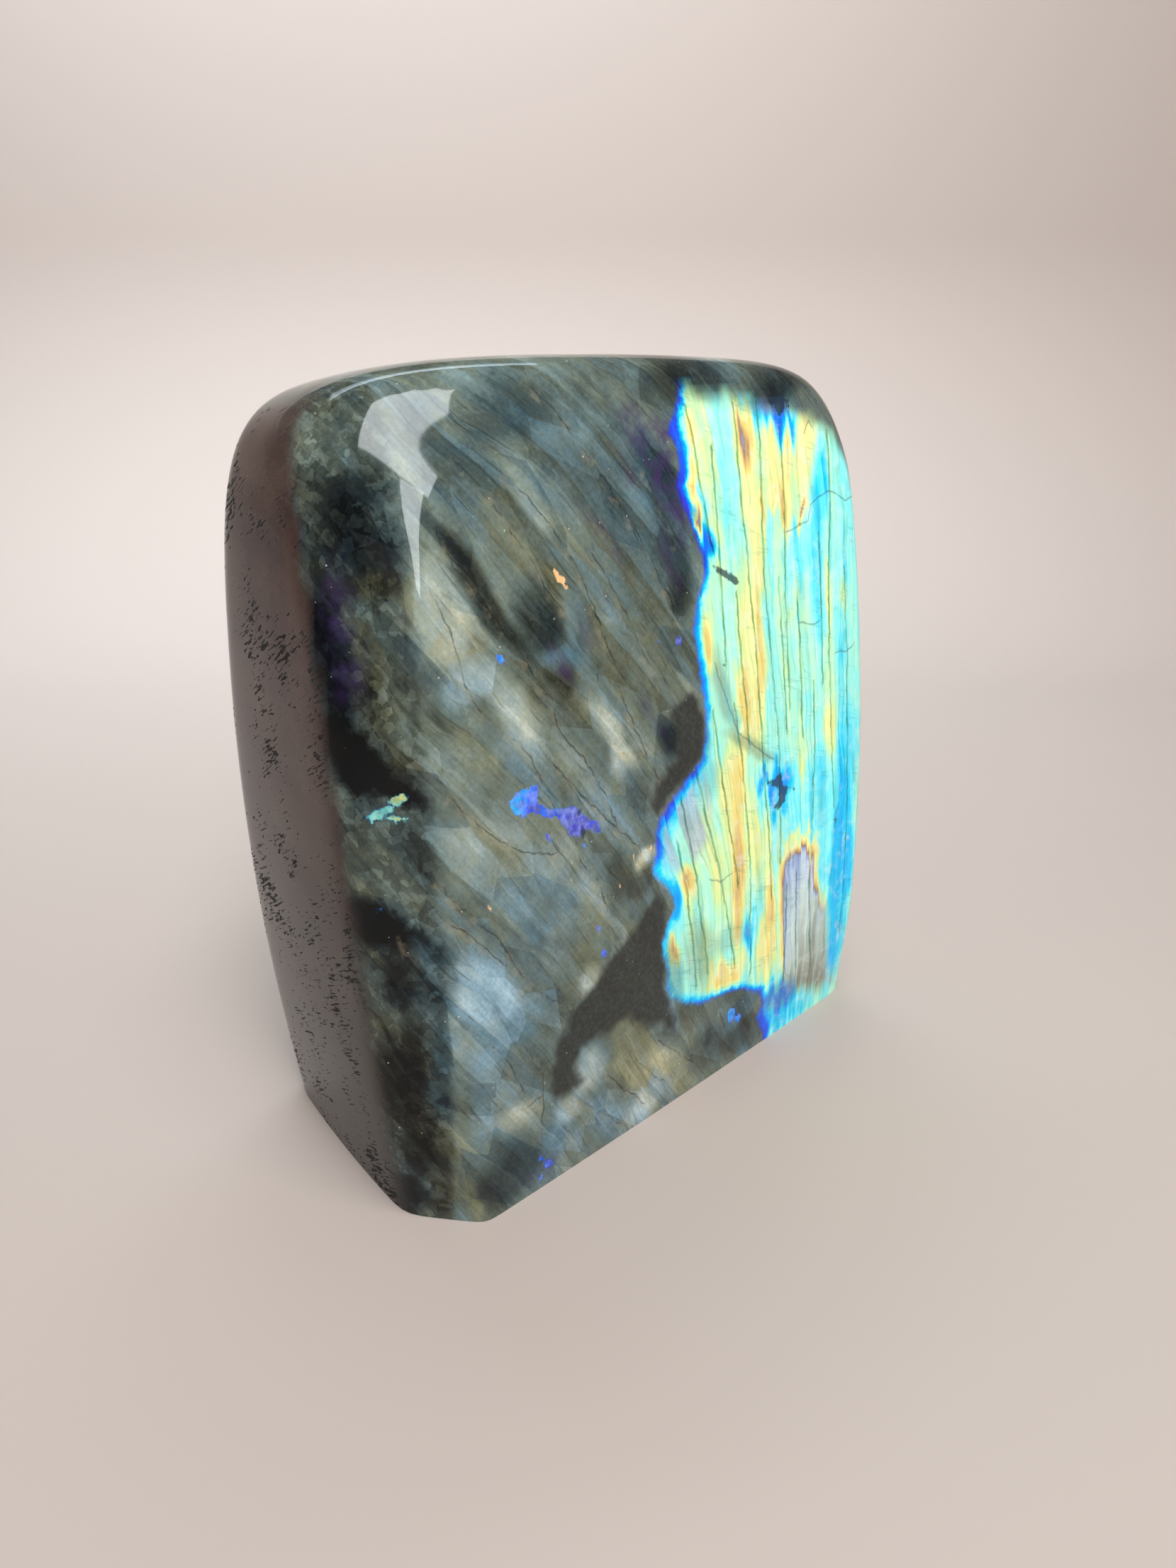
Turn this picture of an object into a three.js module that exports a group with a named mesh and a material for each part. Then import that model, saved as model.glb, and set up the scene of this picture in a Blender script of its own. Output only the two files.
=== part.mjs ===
// A polished free-form block of labradorite, standing on its sawn base.
// It is one natural piece: an upright slab with gently bowed faces, a wide facet ground along
// the left edge of its front, rounded shoulders and a flat underside.
// Millimetres, +Z up. The front face looks toward -Y, and the origin is under the middle.
import * as THREE from "three";
import { mergeVertices } from "three/addons/utils/BufferGeometryUtils.js";

const HEIGHT = 120;

// Each ground face has its place at the base, a lean or turn in degrees, and the radius of its bow.
const FRONT = { y: -25, lean: 3.4, bow: 450, sideBow: 2900 };
const FACET = { x: -44.7, turn: 54.6, lean: 2.5, bow: 240 };
const BACK = { y: 27.5, lean: 3, bow: 395 };
const LEFT = { x: -55.7, turn: 10, widestAt: 74, bowAbove: 2000, bowBelow: 480, depthBow: 300 };
const RIGHT = { x: 57.2, turn: 8, widestAt: -14, bow: 1100, depthBow: 150 };
const TOP = { x: -24, z: 119.54, lean: 5, bow: 1310, depthBow: 400 };

// Edge softness, about 0.4 of the radius that a square edge is rounded to.
const LEFT_SHOULDER = 7.8;
const RIGHT_SHOULDER = 6.5;
const FRONT_EDGE = 0.8;
const BACK_EDGE = 1.2;

// The front edge is rounder along the top, and at the right toward its foot.
const TOP_EDGE = 2.4;
const TOP_EDGE_SOFTENS = { from: 98, to: 116 };
const RIGHT_FOOT_EDGE = 2;
const RIGHT_FOOT_FADES_AT = 22;

// The ridge between facet and front is tight at the base and melts away toward the top.
const RIDGE = 0.6;
const RIDGE_AT_TOP = 11;
const RIDGE_SOFTENS = { from: 88, to: 117 };

// A block is divided finely, and its skin is pushed outward from a core bar to the stone's faces.
const BLOCK = { halfWidth: 45, halfDepth: 23, height: 118, columns: 28, layers: 16, rows: 28 };
const CORE = { halfWidth: 20, halfDepth: 6, height: 85 };
const EDGE_CROWDING = 0.6;
const REACH = 4;
const HALVINGS = 40;

const POLISHED_STONE = { color: 0x4d5350, roughness: 0.12, metalness: 0 };

const radians = THREE.MathUtils.degToRad;

// How far a face that stands on the base and bows along its height has drawn in at height z.
function bowIn(z, radius) {
  const half = HEIGHT / 2;
  return ((z - half) ** 2 - half ** 2) / (2 * radius);
}

// The distance outside each face, below zero inside the stone.
function frontFace({ x, y, z }) {
  const lean = radians(FRONT.lean);
  const flat = (FRONT.y - y) * Math.cos(lean) + z * Math.sin(lean);
  return flat + bowIn(z, FRONT.bow) + x ** 2 / (2 * FRONT.sideBow);
}

function facetFace({ x, y, z }) {
  const turn = radians(FACET.turn);
  const lean = radians(FACET.lean);
  const across = (FACET.x - x) * Math.sin(turn) + (FRONT.y - y) * Math.cos(turn);
  return across * Math.cos(lean) + z * Math.sin(lean) + bowIn(z, FACET.bow);
}

function backFace({ x, y, z }) {
  const lean = radians(BACK.lean);
  const flat = (y - BACK.y) * Math.cos(lean) + z * Math.sin(lean);
  return flat + bowIn(z, BACK.bow) + x ** 2 / (2 * BACK.bow);
}

function leftFace({ x, y, z }) {
  const turn = radians(LEFT.turn);
  const rise = z - LEFT.widestAt;
  const bow = rise > 0 ? LEFT.bowAbove : LEFT.bowBelow;
  const flat = (LEFT.x - x) * Math.cos(turn) + y * Math.sin(turn);
  return flat + rise ** 2 / (2 * bow) + y ** 2 / (2 * LEFT.depthBow);
}

function rightFace({ x, y, z }) {
  const turn = radians(RIGHT.turn);
  const rise = z - RIGHT.widestAt;
  const flat = (x - RIGHT.x) * Math.cos(turn) - y * Math.sin(turn);
  return flat + rise ** 2 / (2 * RIGHT.bow) + y ** 2 / (2 * RIGHT.depthBow);
}

function topFace({ x, y, z }) {
  const flat = z - TOP.z + y * Math.tan(radians(TOP.lean));
  return flat + (x - TOP.x) ** 2 / (2 * TOP.bow) + y ** 2 / (2 * TOP.depthBow);
}

// Two faces meet in an edge rounded by the given softness.
function meet(a, b, softness) {
  return Math.max(a, b) + softness * Math.log1p(Math.exp(-Math.abs(a - b) / softness));
}

// The whole stone above its base plane, from the way its faces meet.
function outsideStone(point) {
  const { smoothstep, lerp } = THREE.MathUtils;
  const ridgeMelt = smoothstep(point.z, RIDGE_SOFTENS.from, RIDGE_SOFTENS.to);
  const footShare = point.x > 0 ? 1 - smoothstep(point.z, 0, RIGHT_FOOT_FADES_AT) : 0;
  const ridge = lerp(RIDGE, RIDGE_AT_TOP, ridgeMelt ** 2);
  const topShare = smoothstep(point.z, TOP_EDGE_SOFTENS.from, TOP_EDGE_SOFTENS.to);
  const lowerEdge = lerp(FRONT_EDGE, RIGHT_FOOT_EDGE, footShare);
  const frontEdge = lerp(lowerEdge, TOP_EDGE, topShare);
  const shoulders = meet(
    meet(leftFace(point), topFace(point), LEFT_SHOULDER),
    rightFace(point),
    RIGHT_SHOULDER,
  );
  const front = meet(frontFace(point), facetFace(point), ridge);
  return meet(meet(front, shoulders, frontEdge), backFace(point), BACK_EDGE);
}

// The point of the stone's skin on the ray that leaves the core bar through a point of the block.
function onSkin(point) {
  const heart = new THREE.Vector3(
    THREE.MathUtils.clamp(point.x, -CORE.halfWidth, CORE.halfWidth),
    THREE.MathUtils.clamp(point.y, -CORE.halfDepth, CORE.halfDepth),
    THREE.MathUtils.clamp(point.z, 0, CORE.height),
  );
  const ray = new THREE.Vector3().subVectors(point, heart);
  const probe = new THREE.Vector3();
  let inside = 0;
  let outside = REACH;
  for (let i = 0; i < HALVINGS; i += 1) {
    const middle = (inside + outside) / 2;
    probe.copy(heart).addScaledVector(ray, middle);
    if (outsideStone(probe) > 0) outside = middle;
    else inside = middle;
  }
  return probe.copy(heart).addScaledVector(ray, inside);
}

// Rows of the block crowd toward its edges, where the stone curves most.
function crowd(share) {
  return THREE.MathUtils.lerp(share, Math.sin((share * Math.PI) / 2), EDGE_CROWDING);
}

// The skin point for a point of the block. The underside keeps its plane and follows its rim.
function shapePoint(point) {
  const rimShare = Math.max(
    Math.abs(point.x) / BLOCK.halfWidth,
    Math.abs(point.y) / BLOCK.halfDepth,
  );
  const underside = point.z === 0 && rimShare < 1;
  if (!underside) return onSkin(point);
  if (rimShare === 0) return point.clone();
  return onSkin(point.clone().divideScalar(rimShare)).multiplyScalar(rimShare);
}

function stoneGeometry() {
  const block = new THREE.BoxGeometry(2, 2, 2, BLOCK.columns, BLOCK.layers, BLOCK.rows);
  block.deleteAttribute("normal");
  block.deleteAttribute("uv");
  const geometry = mergeVertices(block);
  const position = geometry.getAttribute("position");
  const point = new THREE.Vector3();
  for (let i = 0; i < position.count; i += 1) {
    point.fromBufferAttribute(position, i);
    point.set(
      crowd(point.x) * BLOCK.halfWidth,
      crowd(point.y) * BLOCK.halfDepth,
      ((crowd(point.z) + 1) / 2) * BLOCK.height,
    );
    position.setXYZ(i, ...shapePoint(point).toArray());
  }
  geometry.computeBoundingBox();
  const middle = geometry.boundingBox.getCenter(new THREE.Vector3());
  geometry.translate(-middle.x, -middle.y, 0);
  geometry.computeVertexNormals();
  return geometry;
}

const stone = new THREE.Mesh(
  stoneGeometry(),
  new THREE.MeshStandardMaterial(POLISHED_STONE),
);
stone.name = "labradorite_stone";

const labradorite = new THREE.Group();
labradorite.name = "polished_labradorite";
labradorite.add(stone);

export default labradorite;
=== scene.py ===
import math

import bpy
import numpy as np
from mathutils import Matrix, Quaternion, Vector


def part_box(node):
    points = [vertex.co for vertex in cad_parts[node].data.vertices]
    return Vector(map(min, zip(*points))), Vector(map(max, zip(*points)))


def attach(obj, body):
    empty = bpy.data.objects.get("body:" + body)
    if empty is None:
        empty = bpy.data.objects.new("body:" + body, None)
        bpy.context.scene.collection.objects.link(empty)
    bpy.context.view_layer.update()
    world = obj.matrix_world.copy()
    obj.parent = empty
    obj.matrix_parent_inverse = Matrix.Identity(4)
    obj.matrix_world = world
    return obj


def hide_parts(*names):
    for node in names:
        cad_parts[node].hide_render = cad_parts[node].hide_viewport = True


# Looks of a polished free-form labradorite. Sizes are millimetres in the stone's own frame
# until a mesh, light or camera is made, and MM turns them into Blender's metres.
MM = 0.001

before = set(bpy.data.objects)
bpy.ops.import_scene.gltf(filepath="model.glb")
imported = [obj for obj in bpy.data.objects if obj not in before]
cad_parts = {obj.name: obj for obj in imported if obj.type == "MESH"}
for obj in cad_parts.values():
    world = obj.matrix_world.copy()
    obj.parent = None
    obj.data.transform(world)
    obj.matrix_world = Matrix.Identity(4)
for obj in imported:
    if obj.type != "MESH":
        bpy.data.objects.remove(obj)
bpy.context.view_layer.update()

# The stone's ground faces, the same as those of the solid
HEIGHT = 120
FRONT = {"y": -25, "lean": 3.4, "bow": 450, "side_bow": 2900}
FACET = {"x": -44.7, "turn": 54.6, "lean": 2.5, "bow": 240}
BACK = {"y": 27.5, "lean": 3, "bow": 395}
LEFT = {"x": -55.7, "turn": 10, "widest_at": 74, "bow_above": 2000, "bow_below": 480, "depth_bow": 300}
RIGHT = {"x": 57.2, "turn": 8, "widest_at": -14, "bow": 1100, "depth_bow": 150}
TOP = {"x": -24, "z": 119.54, "lean": 5, "bow": 1310, "depth_bow": 400}
LEFT_SHOULDER = 7.8
RIGHT_SHOULDER = 6.5
FRONT_EDGE = 0.8
BACK_EDGE = 1.2
TOP_EDGE = 2.4
TOP_EDGE_SOFTENS = (98, 116)
RIGHT_FOOT_EDGE = 2
RIGHT_FOOT_FADES_AT = 22
RIDGE = 0.6
RIDGE_AT_TOP = 11
RIDGE_SOFTENS = (88, 117)

# The block whose skin is pushed out to the faces, divided far more finely than the solid. Each
# point goes along its ray from a core bar, at most REACH times as far as it starts from it.
BLOCK_HALF = np.array([45.0, 23.0])
BLOCK_HEIGHT = 118
CORE_HALF = np.array([20.0, 6.0])
CORE_HEIGHT = 85
EDGE_CROWDING = 0.6
DIVISIONS = np.array([176, 40, 192])
REACH = 4
HALVINGS = 34
# The step that a slope is measured over, and the angle from which an edge is shaded as sharp
SLOPE_STEP = 0.05
SHARP_ANGLE = 50
SMALLEST_SHARE = 1e-9


def smoothstep(value, low, high):
    """0 up to low and 1 from high on, with an even curve between."""
    share = np.clip((value - low) / (high - low), 0, 1)
    return share * share * (3 - 2 * share)


def bow_in(z, radius):
    """What a bow adds to the distance outside a face: 0 at the base and the top, less between."""
    half = HEIGHT / 2
    return ((z - half) ** 2 - half**2) / (2 * radius)


def front_face(x, y, z):
    lean = math.radians(FRONT["lean"])
    flat = (FRONT["y"] - y) * math.cos(lean) + z * math.sin(lean)
    return flat + bow_in(z, FRONT["bow"]) + x**2 / (2 * FRONT["side_bow"])


def facet_face(x, y, z):
    turn = math.radians(FACET["turn"])
    lean = math.radians(FACET["lean"])
    across = (FACET["x"] - x) * math.sin(turn) + (FRONT["y"] - y) * math.cos(turn)
    return across * math.cos(lean) + z * math.sin(lean) + bow_in(z, FACET["bow"])


def back_face(x, y, z):
    lean = math.radians(BACK["lean"])
    flat = (y - BACK["y"]) * math.cos(lean) + z * math.sin(lean)
    return flat + bow_in(z, BACK["bow"]) + x**2 / (2 * BACK["bow"])


def left_face(x, y, z):
    turn = math.radians(LEFT["turn"])
    rise = z - LEFT["widest_at"]
    bow = np.where(rise > 0, LEFT["bow_above"], LEFT["bow_below"])
    flat = (LEFT["x"] - x) * math.cos(turn) + y * math.sin(turn)
    return flat + rise**2 / (2 * bow) + y**2 / (2 * LEFT["depth_bow"])


def right_face(x, y, z):
    turn = math.radians(RIGHT["turn"])
    rise = z - RIGHT["widest_at"]
    flat = (x - RIGHT["x"]) * math.cos(turn) - y * math.sin(turn)
    return flat + rise**2 / (2 * RIGHT["bow"]) + y**2 / (2 * RIGHT["depth_bow"])


def top_face(x, y, z):
    flat = z - TOP["z"] + y * math.tan(math.radians(TOP["lean"]))
    return flat + (x - TOP["x"]) ** 2 / (2 * TOP["bow"]) + y**2 / (2 * TOP["depth_bow"])


def meet(a, b, softness):
    """The greater of two distances, rounded where the two are alike."""
    return np.maximum(a, b) + softness * np.log1p(np.exp(-np.abs(a - b) / softness))


def outside_stone(points):
    """Distance outside the stone's faces, below zero inside."""
    x, y, z = points.T
    ridge_melt = smoothstep(z, *RIDGE_SOFTENS) ** 2
    ridge = RIDGE + (RIDGE_AT_TOP - RIDGE) * ridge_melt
    foot_share = (1 - smoothstep(z, 0, RIGHT_FOOT_FADES_AT)) * (x > 0)
    front_edge = FRONT_EDGE + (RIGHT_FOOT_EDGE - FRONT_EDGE) * foot_share
    front_edge = front_edge + (TOP_EDGE - front_edge) * smoothstep(z, *TOP_EDGE_SOFTENS)
    left_shoulder = meet(left_face(x, y, z), top_face(x, y, z), LEFT_SHOULDER)
    shoulders = meet(left_shoulder, right_face(x, y, z), RIGHT_SHOULDER)
    front = meet(front_face(x, y, z), facet_face(x, y, z), ridge)
    return meet(meet(front, shoulders, front_edge), back_face(x, y, z), BACK_EDGE)


def block_lattice():
    """Whole-number lattice points and quads of a closed block, its quads facing out."""
    quads = []
    for axis in range(3):
        a, b = (axis + 1) % 3, (axis + 2) % 3
        i, j = np.meshgrid(np.arange(DIVISIONS[a]), np.arange(DIVISIONS[b]), indexing="ij")
        for side in (0, DIVISIONS[axis]):
            corners = np.zeros(i.shape + (4, 3), int)
            corners[..., axis] = side
            for n, (di, dj) in enumerate(((0, 0), (1, 0), (1, 1), (0, 1))):
                corners[..., n, a] = i + di
                corners[..., n, b] = j + dj
            outward = corners if side else corners[..., ::-1, :]
            quads.append(outward.reshape(-1, 4, 3))
    corners = np.concatenate(quads)
    lattice, index = np.unique(corners.reshape(-1, 3), axis=0, return_inverse=True)
    return lattice, index.reshape(-1, 4)


def on_skin(points):
    """Each point moved along its ray from the core bar to the stone's skin."""
    heart = points.copy()
    heart[:, :2] = np.clip(points[:, :2], -CORE_HALF, CORE_HALF)
    heart[:, 2] = np.clip(points[:, 2], 0, CORE_HEIGHT)
    ray = points - heart
    inside = np.zeros(len(points))
    outside = np.full(len(points), float(REACH))
    for _ in range(HALVINGS):
        middle = (inside + outside) / 2
        is_out = outside_stone(heart + ray * middle[:, None]) > 0
        outside = np.where(is_out, middle, outside)
        inside = np.where(is_out, inside, middle)
    return heart + ray * inside[:, None]


def stone_shape():
    """The stone's skin in its own frame: points, quads, normals, and which points are underneath."""
    lattice, quads = block_lattice()
    share = 2 * lattice / DIVISIONS - 1
    share = share + EDGE_CROWDING * (np.sin(share * math.pi / 2) - share)
    block = share * [BLOCK_HALF[0], BLOCK_HALF[1], BLOCK_HEIGHT / 2]
    block[:, 2] += BLOCK_HEIGHT / 2
    rim_share = np.abs(share[:, :2]).max(axis=1)
    underside = (lattice[:, 2] == 0) & (rim_share < 1)
    scale = np.where(underside, np.maximum(rim_share, SMALLEST_SHARE), 1)[:, None]
    points = on_skin(block / scale) * scale
    middle = (points.min(axis=0) + points.max(axis=0)) / 2
    middle[2] = 0
    return points - middle, quads, skin_normals(points), underside


def skin_normals(points):
    steps = np.eye(3) * SLOPE_STEP
    slope = np.stack([outside_stone(points + d) - outside_stone(points - d) for d in steps], axis=1)
    return slope / np.linalg.norm(slope, axis=1, keepdims=True)


def add_object(name, data):
    thing = bpy.data.objects.new(name, data)
    bpy.context.scene.collection.objects.link(thing)
    return thing


def stone_object(points, quads):
    low, high = (np.array(corner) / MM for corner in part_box("labradorite_stone"))
    points = np.clip(points, low, high)
    mesh = bpy.data.meshes.new("polished_stone")
    mesh.from_pydata((points * MM).tolist(), [], quads.tolist())
    mesh.shade_smooth()
    mesh.set_sharp_from_angle(angle=math.radians(SHARP_ANGLE))
    return add_object("polished_stone", mesh)


# Where the marks lie. Places are (u, z) in millimetres: z is the height, and u is x on the front
# and runs on round the ridge over the facet and the left side, so that one map covers all three.
# A lean is how many degrees the top of a mark leans to the left. The marks are measured from a
# line this far to the left of the stone's middle:
MARKS_LEFT = 0.44

# The band of flash on the right of the front; its outline runs on past the right edge and the top
FLASH_BAND = [
    (2, 118), (1.2, 114), (-1, 111.5), (-2, 109.5), (-0.4, 107), (-0.6, 105), (-1.5, 102),
    (-0.4, 99), (1, 96.5), (2, 94.5), (3, 92), (3.4, 90), (3, 88), (1.5, 86), (0.8, 84), (0.2, 81),
    (0.8, 76), (1.4, 73), (2.2, 69), (2, 65), (1, 61), (-1.5, 59.5), (-4, 57.5), (-7, 56),
    (-9.5, 53.5), (-10.2, 51), (-10, 48.5), (-11, 46), (-9.5, 44), (-7.5, 42), (-6, 40), (-5.6, 38),
    (-7, 36), (-8.5, 33), (-8, 30), (-7, 27), (-7, 24), (-5.5, 21.5), (-2.5, 19.5), (0, 18),
    (3, 16.8), (8, 16.2), (12, 15.5), (15, 14.5), (17, 13), (20, 11.5), (21, 9), (19.7, 6.5),
    (21, 4), (22.5, 2), (23.5, -3), (75, -3), (75, 118),
]
# The small violet-blue patch in the middle of the dark part
BLUE_PATCH = [
    (-39, 64.7), (-37.5, 65.8), (-36.3, 66.2), (-35, 65.6), (-33.9, 66.4), (-33.3, 65),
    (-33.6, 63.5), (-32.5, 62.6), (-31.2, 61.8), (-30, 61.5), (-27.5, 61.3), (-26.3, 60.7),
    (-25.2, 59.6), (-24.3, 58.5), (-22.5, 57.8), (-21.5, 56), (-22.3, 55.5), (-24, 56.2),
    (-24.3, 57.2), (-26, 56.2), (-27.5, 56.6), (-28.5, 57.5), (-29.5, 59), (-30.4, 60.3),
    (-32.5, 60.8), (-33.5, 61.5), (-35, 62.2), (-36.5, 61.8), (-38, 62.8),
]
# Small separate spots of flash: (u, z, half length, half width, lean, order)
FLASH_SPOTS = [
    (-38, 83, 1.1, 0.7, 20, 0.16), (-25.3, 54.8, 1, 0.5, 60, 0.04),
    (-23.5, 40.7, 0.6, 0.5, 0, 0.02), (-35.2, 5.6, 1.1, 0.6, 30, 0.1),
    (-33.3, 3.6, 1.5, 0.7, 50, 0.08), (-34.4, 1.8, 0.6, 0.5, 0, 0.1), (-3.2, 80.3, 0.9, 0.8, 0, 0),
    (12, 10.6, 1.9, 1.4, 20, 0.17), (14.6, 9, 1.2, 0.9, 30, 0.14), (-31.7, 57.3, 1, 0.5, 50, 0.02),
    (-22.3, 36.4, 0.8, 0.7, 0, 0.04), (-7.5, 81, 0.4, 0.4, 0, 0.05), (-57, 68.5, 1, 2, 20, 0.6),
    (-60.4, 66, 1.2, 2.4, 20, 0.4), (-57, 65.2, 0.8, 1.3, 10, 0.56),
    (-62.2, 52.4, 0.5, 1.3, 10, 0.16),
]
# Order of the film colour, from royal blue at 0 through cyan, green and gold to lavender and grey
# past 1: (u, z, half length, half width, lean, order)
ORDER_AT_CORE = 0.43
ORDERS = [
    (6, 100, 16, 3.5, 5, 0.5), (11.5, 101, 14, 2.4, 0, 0.37), (16.4, 107.5, 6, 2.4, 4, 0.8),
    (16.2, 108.6, 4.4, 1.1, 4, 0.93), (16.4, 97, 8, 2.2, 2, 0.64), (22, 104, 7, 2.6, 0, 0.68),
    (22, 97.8, 2, 1.8, 0, 0.74), (24.6, 98.5, 4, 0.7, 0, 0.82), (19, 97, 5, 0.6, 0, 0.8),
    (26.5, 101, 11, 1.4, 2, 0.78), (31.5, 106, 7, 4.5, -25, 0.67), (30, 99, 5, 2.5, -25, 0.56),
    (35.4, 99, 10, 2.4, -8, 0.27), (29.8, 96, 1.8, 0.7, -50, 0.92), (42, 97, 12, 3.5, 0, 0.38),
    (31, 90, 4, 6, 0, 0.34), (34, 84, 11, 2.2, 0, 0.31), (41, 80, 16, 3, 0, 0.37),
    (27, 81, 2.2, 2.6, 0, 0.56), (37, 83, 6, 0.9, 0, 0.55), (42, 80, 3, 1.2, 0, 0.54),
    (13, 77, 12, 1.8, 4, 0.69), (16.2, 77, 12, 1.5, 5, 0.76), (17.2, 87, 5, 1.5, 0, 0.72),
    (12, 67, 6, 1.5, 12, 0.74), (15, 67, 7, 1.8, 6, 0.68), (22, 81, 13, 2.8, 4, 0.45),
    (21.4, 66, 12, 2.8, 5, 0.43), (27.5, 68, 13, 2.5, 0, 0.46), (33, 66, 11, 2.6, 0, 0.43),
    (37, 58.5, 5, 2.2, 0, 0.62), (31, 55, 2.2, 5, 0, 0.53), (44, 52, 11, 3, 3, 0.3),
    (5, 80, 9, 2.6, 5, 0.45), (3.4, 80.5, 4, 1, 0, 0.76), (3, 109, 3, 0.8, 0, 0.74),
    (2.4, 103, 2.4, 1, 20, 0.8), (2.5, 97.4, 3.8, 2.8, 12, 0.2), (2.5, 97.4, 2.4, 1.5, 12, 1.02),
    (4.4, 92.6, 2.2, 3, 0, 0.13), (-2, 41.6, 4.6, 1.8, 8, 0.82), (-3.2, 44.6, 2, 1.2, 0, 1.02),
    (-4.9, 38.8, 3.2, 1.1, 15, 0.17), (1.8, 36, 11, 1.3, 8, 0.49), (5.5, 42, 11, 2.6, 20, 0.57),
    (9, 44, 15, 1.5, 14, 0.6), (11, 43, 16, 1.7, 5, 0.77), (11.4, 55, 6, 1.5, 3, 0.74),
    (8, 54, 6, 1.5, 15, 0.62), (15.2, 44, 9, 2.3, 5, 0.61), (18.6, 43, 8, 1.4, 8, 0.53),
    (23, 41, 5, 2.6, 0, 0.44), (27.5, 44, 5, 4, 0, 0.36), (22, 50.5, 5, 6, 0, 0.34),
    (18.6, 53.4, 1.7, 2.8, -20, 0.17), (22.6, 51.4, 2.4, 3.6, -20, 0.19),
    (22.5, 47.6, 1.4, 2.6, -10, 0.24), (35, 47, 12, 4.5, 5, 0.31), (41.5, 42, 12, 3.6, 5, 0.29),
    (37, 33, 8, 3.4, 12, 0.33), (43, 32, 16, 3.6, 2, 0.262), (46.6, 28, 9, 1.6, 0, 0.24),
    (45.5, 13, 10, 3, 5, 0.26), (28.6, 39.2, 1.1, 6, -8, 0.64), (34.8, 35.2, 2, 0.9, 30, 0.6),
    (21.6, 26, 9, 1.5, 8, 0.74), (20, 21.5, 6.5, 2.4, 15, 0.67), (17.3, 29, 5, 1.8, 0, 0.38),
    (15.6, 25.5, 4, 1.3, 8, 0.22), (8.5, 20.5, 3, 5.5, 0, 0.74), (13.2, 19.5, 3, 1.2, 0, 0.7),
    (1, 28, 8, 2.2, 10, 0.5), (-5, 29.5, 2.6, 1.2, 0, 0.86), (24.8, 110.8, 3, 5.4, -16, 0.22),
    (25.4, 111.4, 1.8, 4, -10, 0.12), (31, 3, 4, 8, 0, 0.27), (27, 8.5, 3, 6, -20, 0.16),
    (22.2, 4, 4, 2, 10, 0.09),
]
# The tooth of pale lavender and taupe, and its order at each height: (z, order)
TOOTH = [
    (23.3, 36.3), (25.5, 38), (28, 38.7), (31, 37.7), (33, 36.2), (34.4, 33.6), (35.2, 30),
    (36.4, 27), (38.2, 24), (40, 20.5), (41.3, 17), (42.3, 13), (43.6, 9), (45.3, 5.6), (46.2, 3),
    (43, 3.2), (40, 4.2), (37, 5.6), (33, 7.4), (29.5, 9.2), (27, 11.4), (25.6, 14.5), (24.8, 18),
    (24.2, 22), (23.4, 27), (23, 32),
]
TOOTH_ORDERS = [
    (4, 1.2), (12, 1.14), (20, 1.09), (28, 1.06), (31, 1.03), (36, 1),
]
# Where the flash ends below the rounded top: (u, z)
FLASH_TOP = [
    (-3, 116), (8, 115), (14, 114.6), (20, 113.2), (29, 112.4), (33, 111), (38, 109.4), (41, 107.6),
    (44, 104.4), (46, 100.5), (47.5, 97), (50, 93), (60, 88),
]
# The rounded lobe at the band's left edge, and its film order at each depth in from that edge
LOBE = (-3.5, 52.5, 8.5, 7.5, 0)
LOBE_DEPTHS = (0, 1, 2, 3.2, 4.2, 5.5, 7, 8.5, 11)
LOBE_ORDERS = (0.06, 0.15, 0.28, 0.36, 0.42, 0.46, 0.5, 0.58, 0.58)
# The band's blue rim keeps its full blue this far in, and further at its upper left
RIM = 0.2
WIDER_RIM = 1.0
WIDE_RIM_AT = (-1, 105, 8, 5, 0)
# The film order of the rim at each height: (z, order)
RIM_ORDERS = [
    (0, 0.07), (14, 0.09), (20, 0.2), (56, 0.2), (62, 0.14), (88, 0.13), (94, 0.07),
]
# How far the layers of the flash have moved right at each height: (z, shift)
LEFT_LAYERS = [
    (20, 14), (30, 12), (40, 10.5), (45, 8), (52, 5), (60, 3), (68, 1.8), (73, 1.5), (92, 0),
    (101, -1), (113, -3.5),
]
MIDDLE_LAYERS = [
    (0, 11.5), (10, 10), (20, 8.5), (30, 7.2), (42, 5.5), (50, 4.2), (58, 3.2), (66, 2.3),
    (75, 0.8), (85, 0), (110, 0),
]
RIGHT_LAYERS = [
    (12, 4.5), (28, 3), (40, 2), (50, 1.2), (60, -0.5), (73, -1), (87, 0),
]
# Where something clouds the flash: (u, z, half length, half width, lean, share taken away)
VEILS = [
    (7.4, 69.5, 8, 1.5, 20, 0.5), (14.5, 59.3, 7.5, 1, 62, 0.5), (1, 27, 7, 3.5, 10, 0.42),
    (9.5, 27, 2.2, 6, 0, 0.3), (-5, 26, 7, 1.8, 10, 0.6), (27, 8.5, 3, 7, 0, 0.4),
    (2, 64.5, 4, 1.8, 0, 0.4), (38, 15, 11, 4, 16, 0.2), (3, 57, 3, 3, 0, 0.3),
    (25, 112.5, 1.6, 7, 0, 0.5), (2.5, 97.4, 1.8, 1, 12, 0.5),
]

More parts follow.
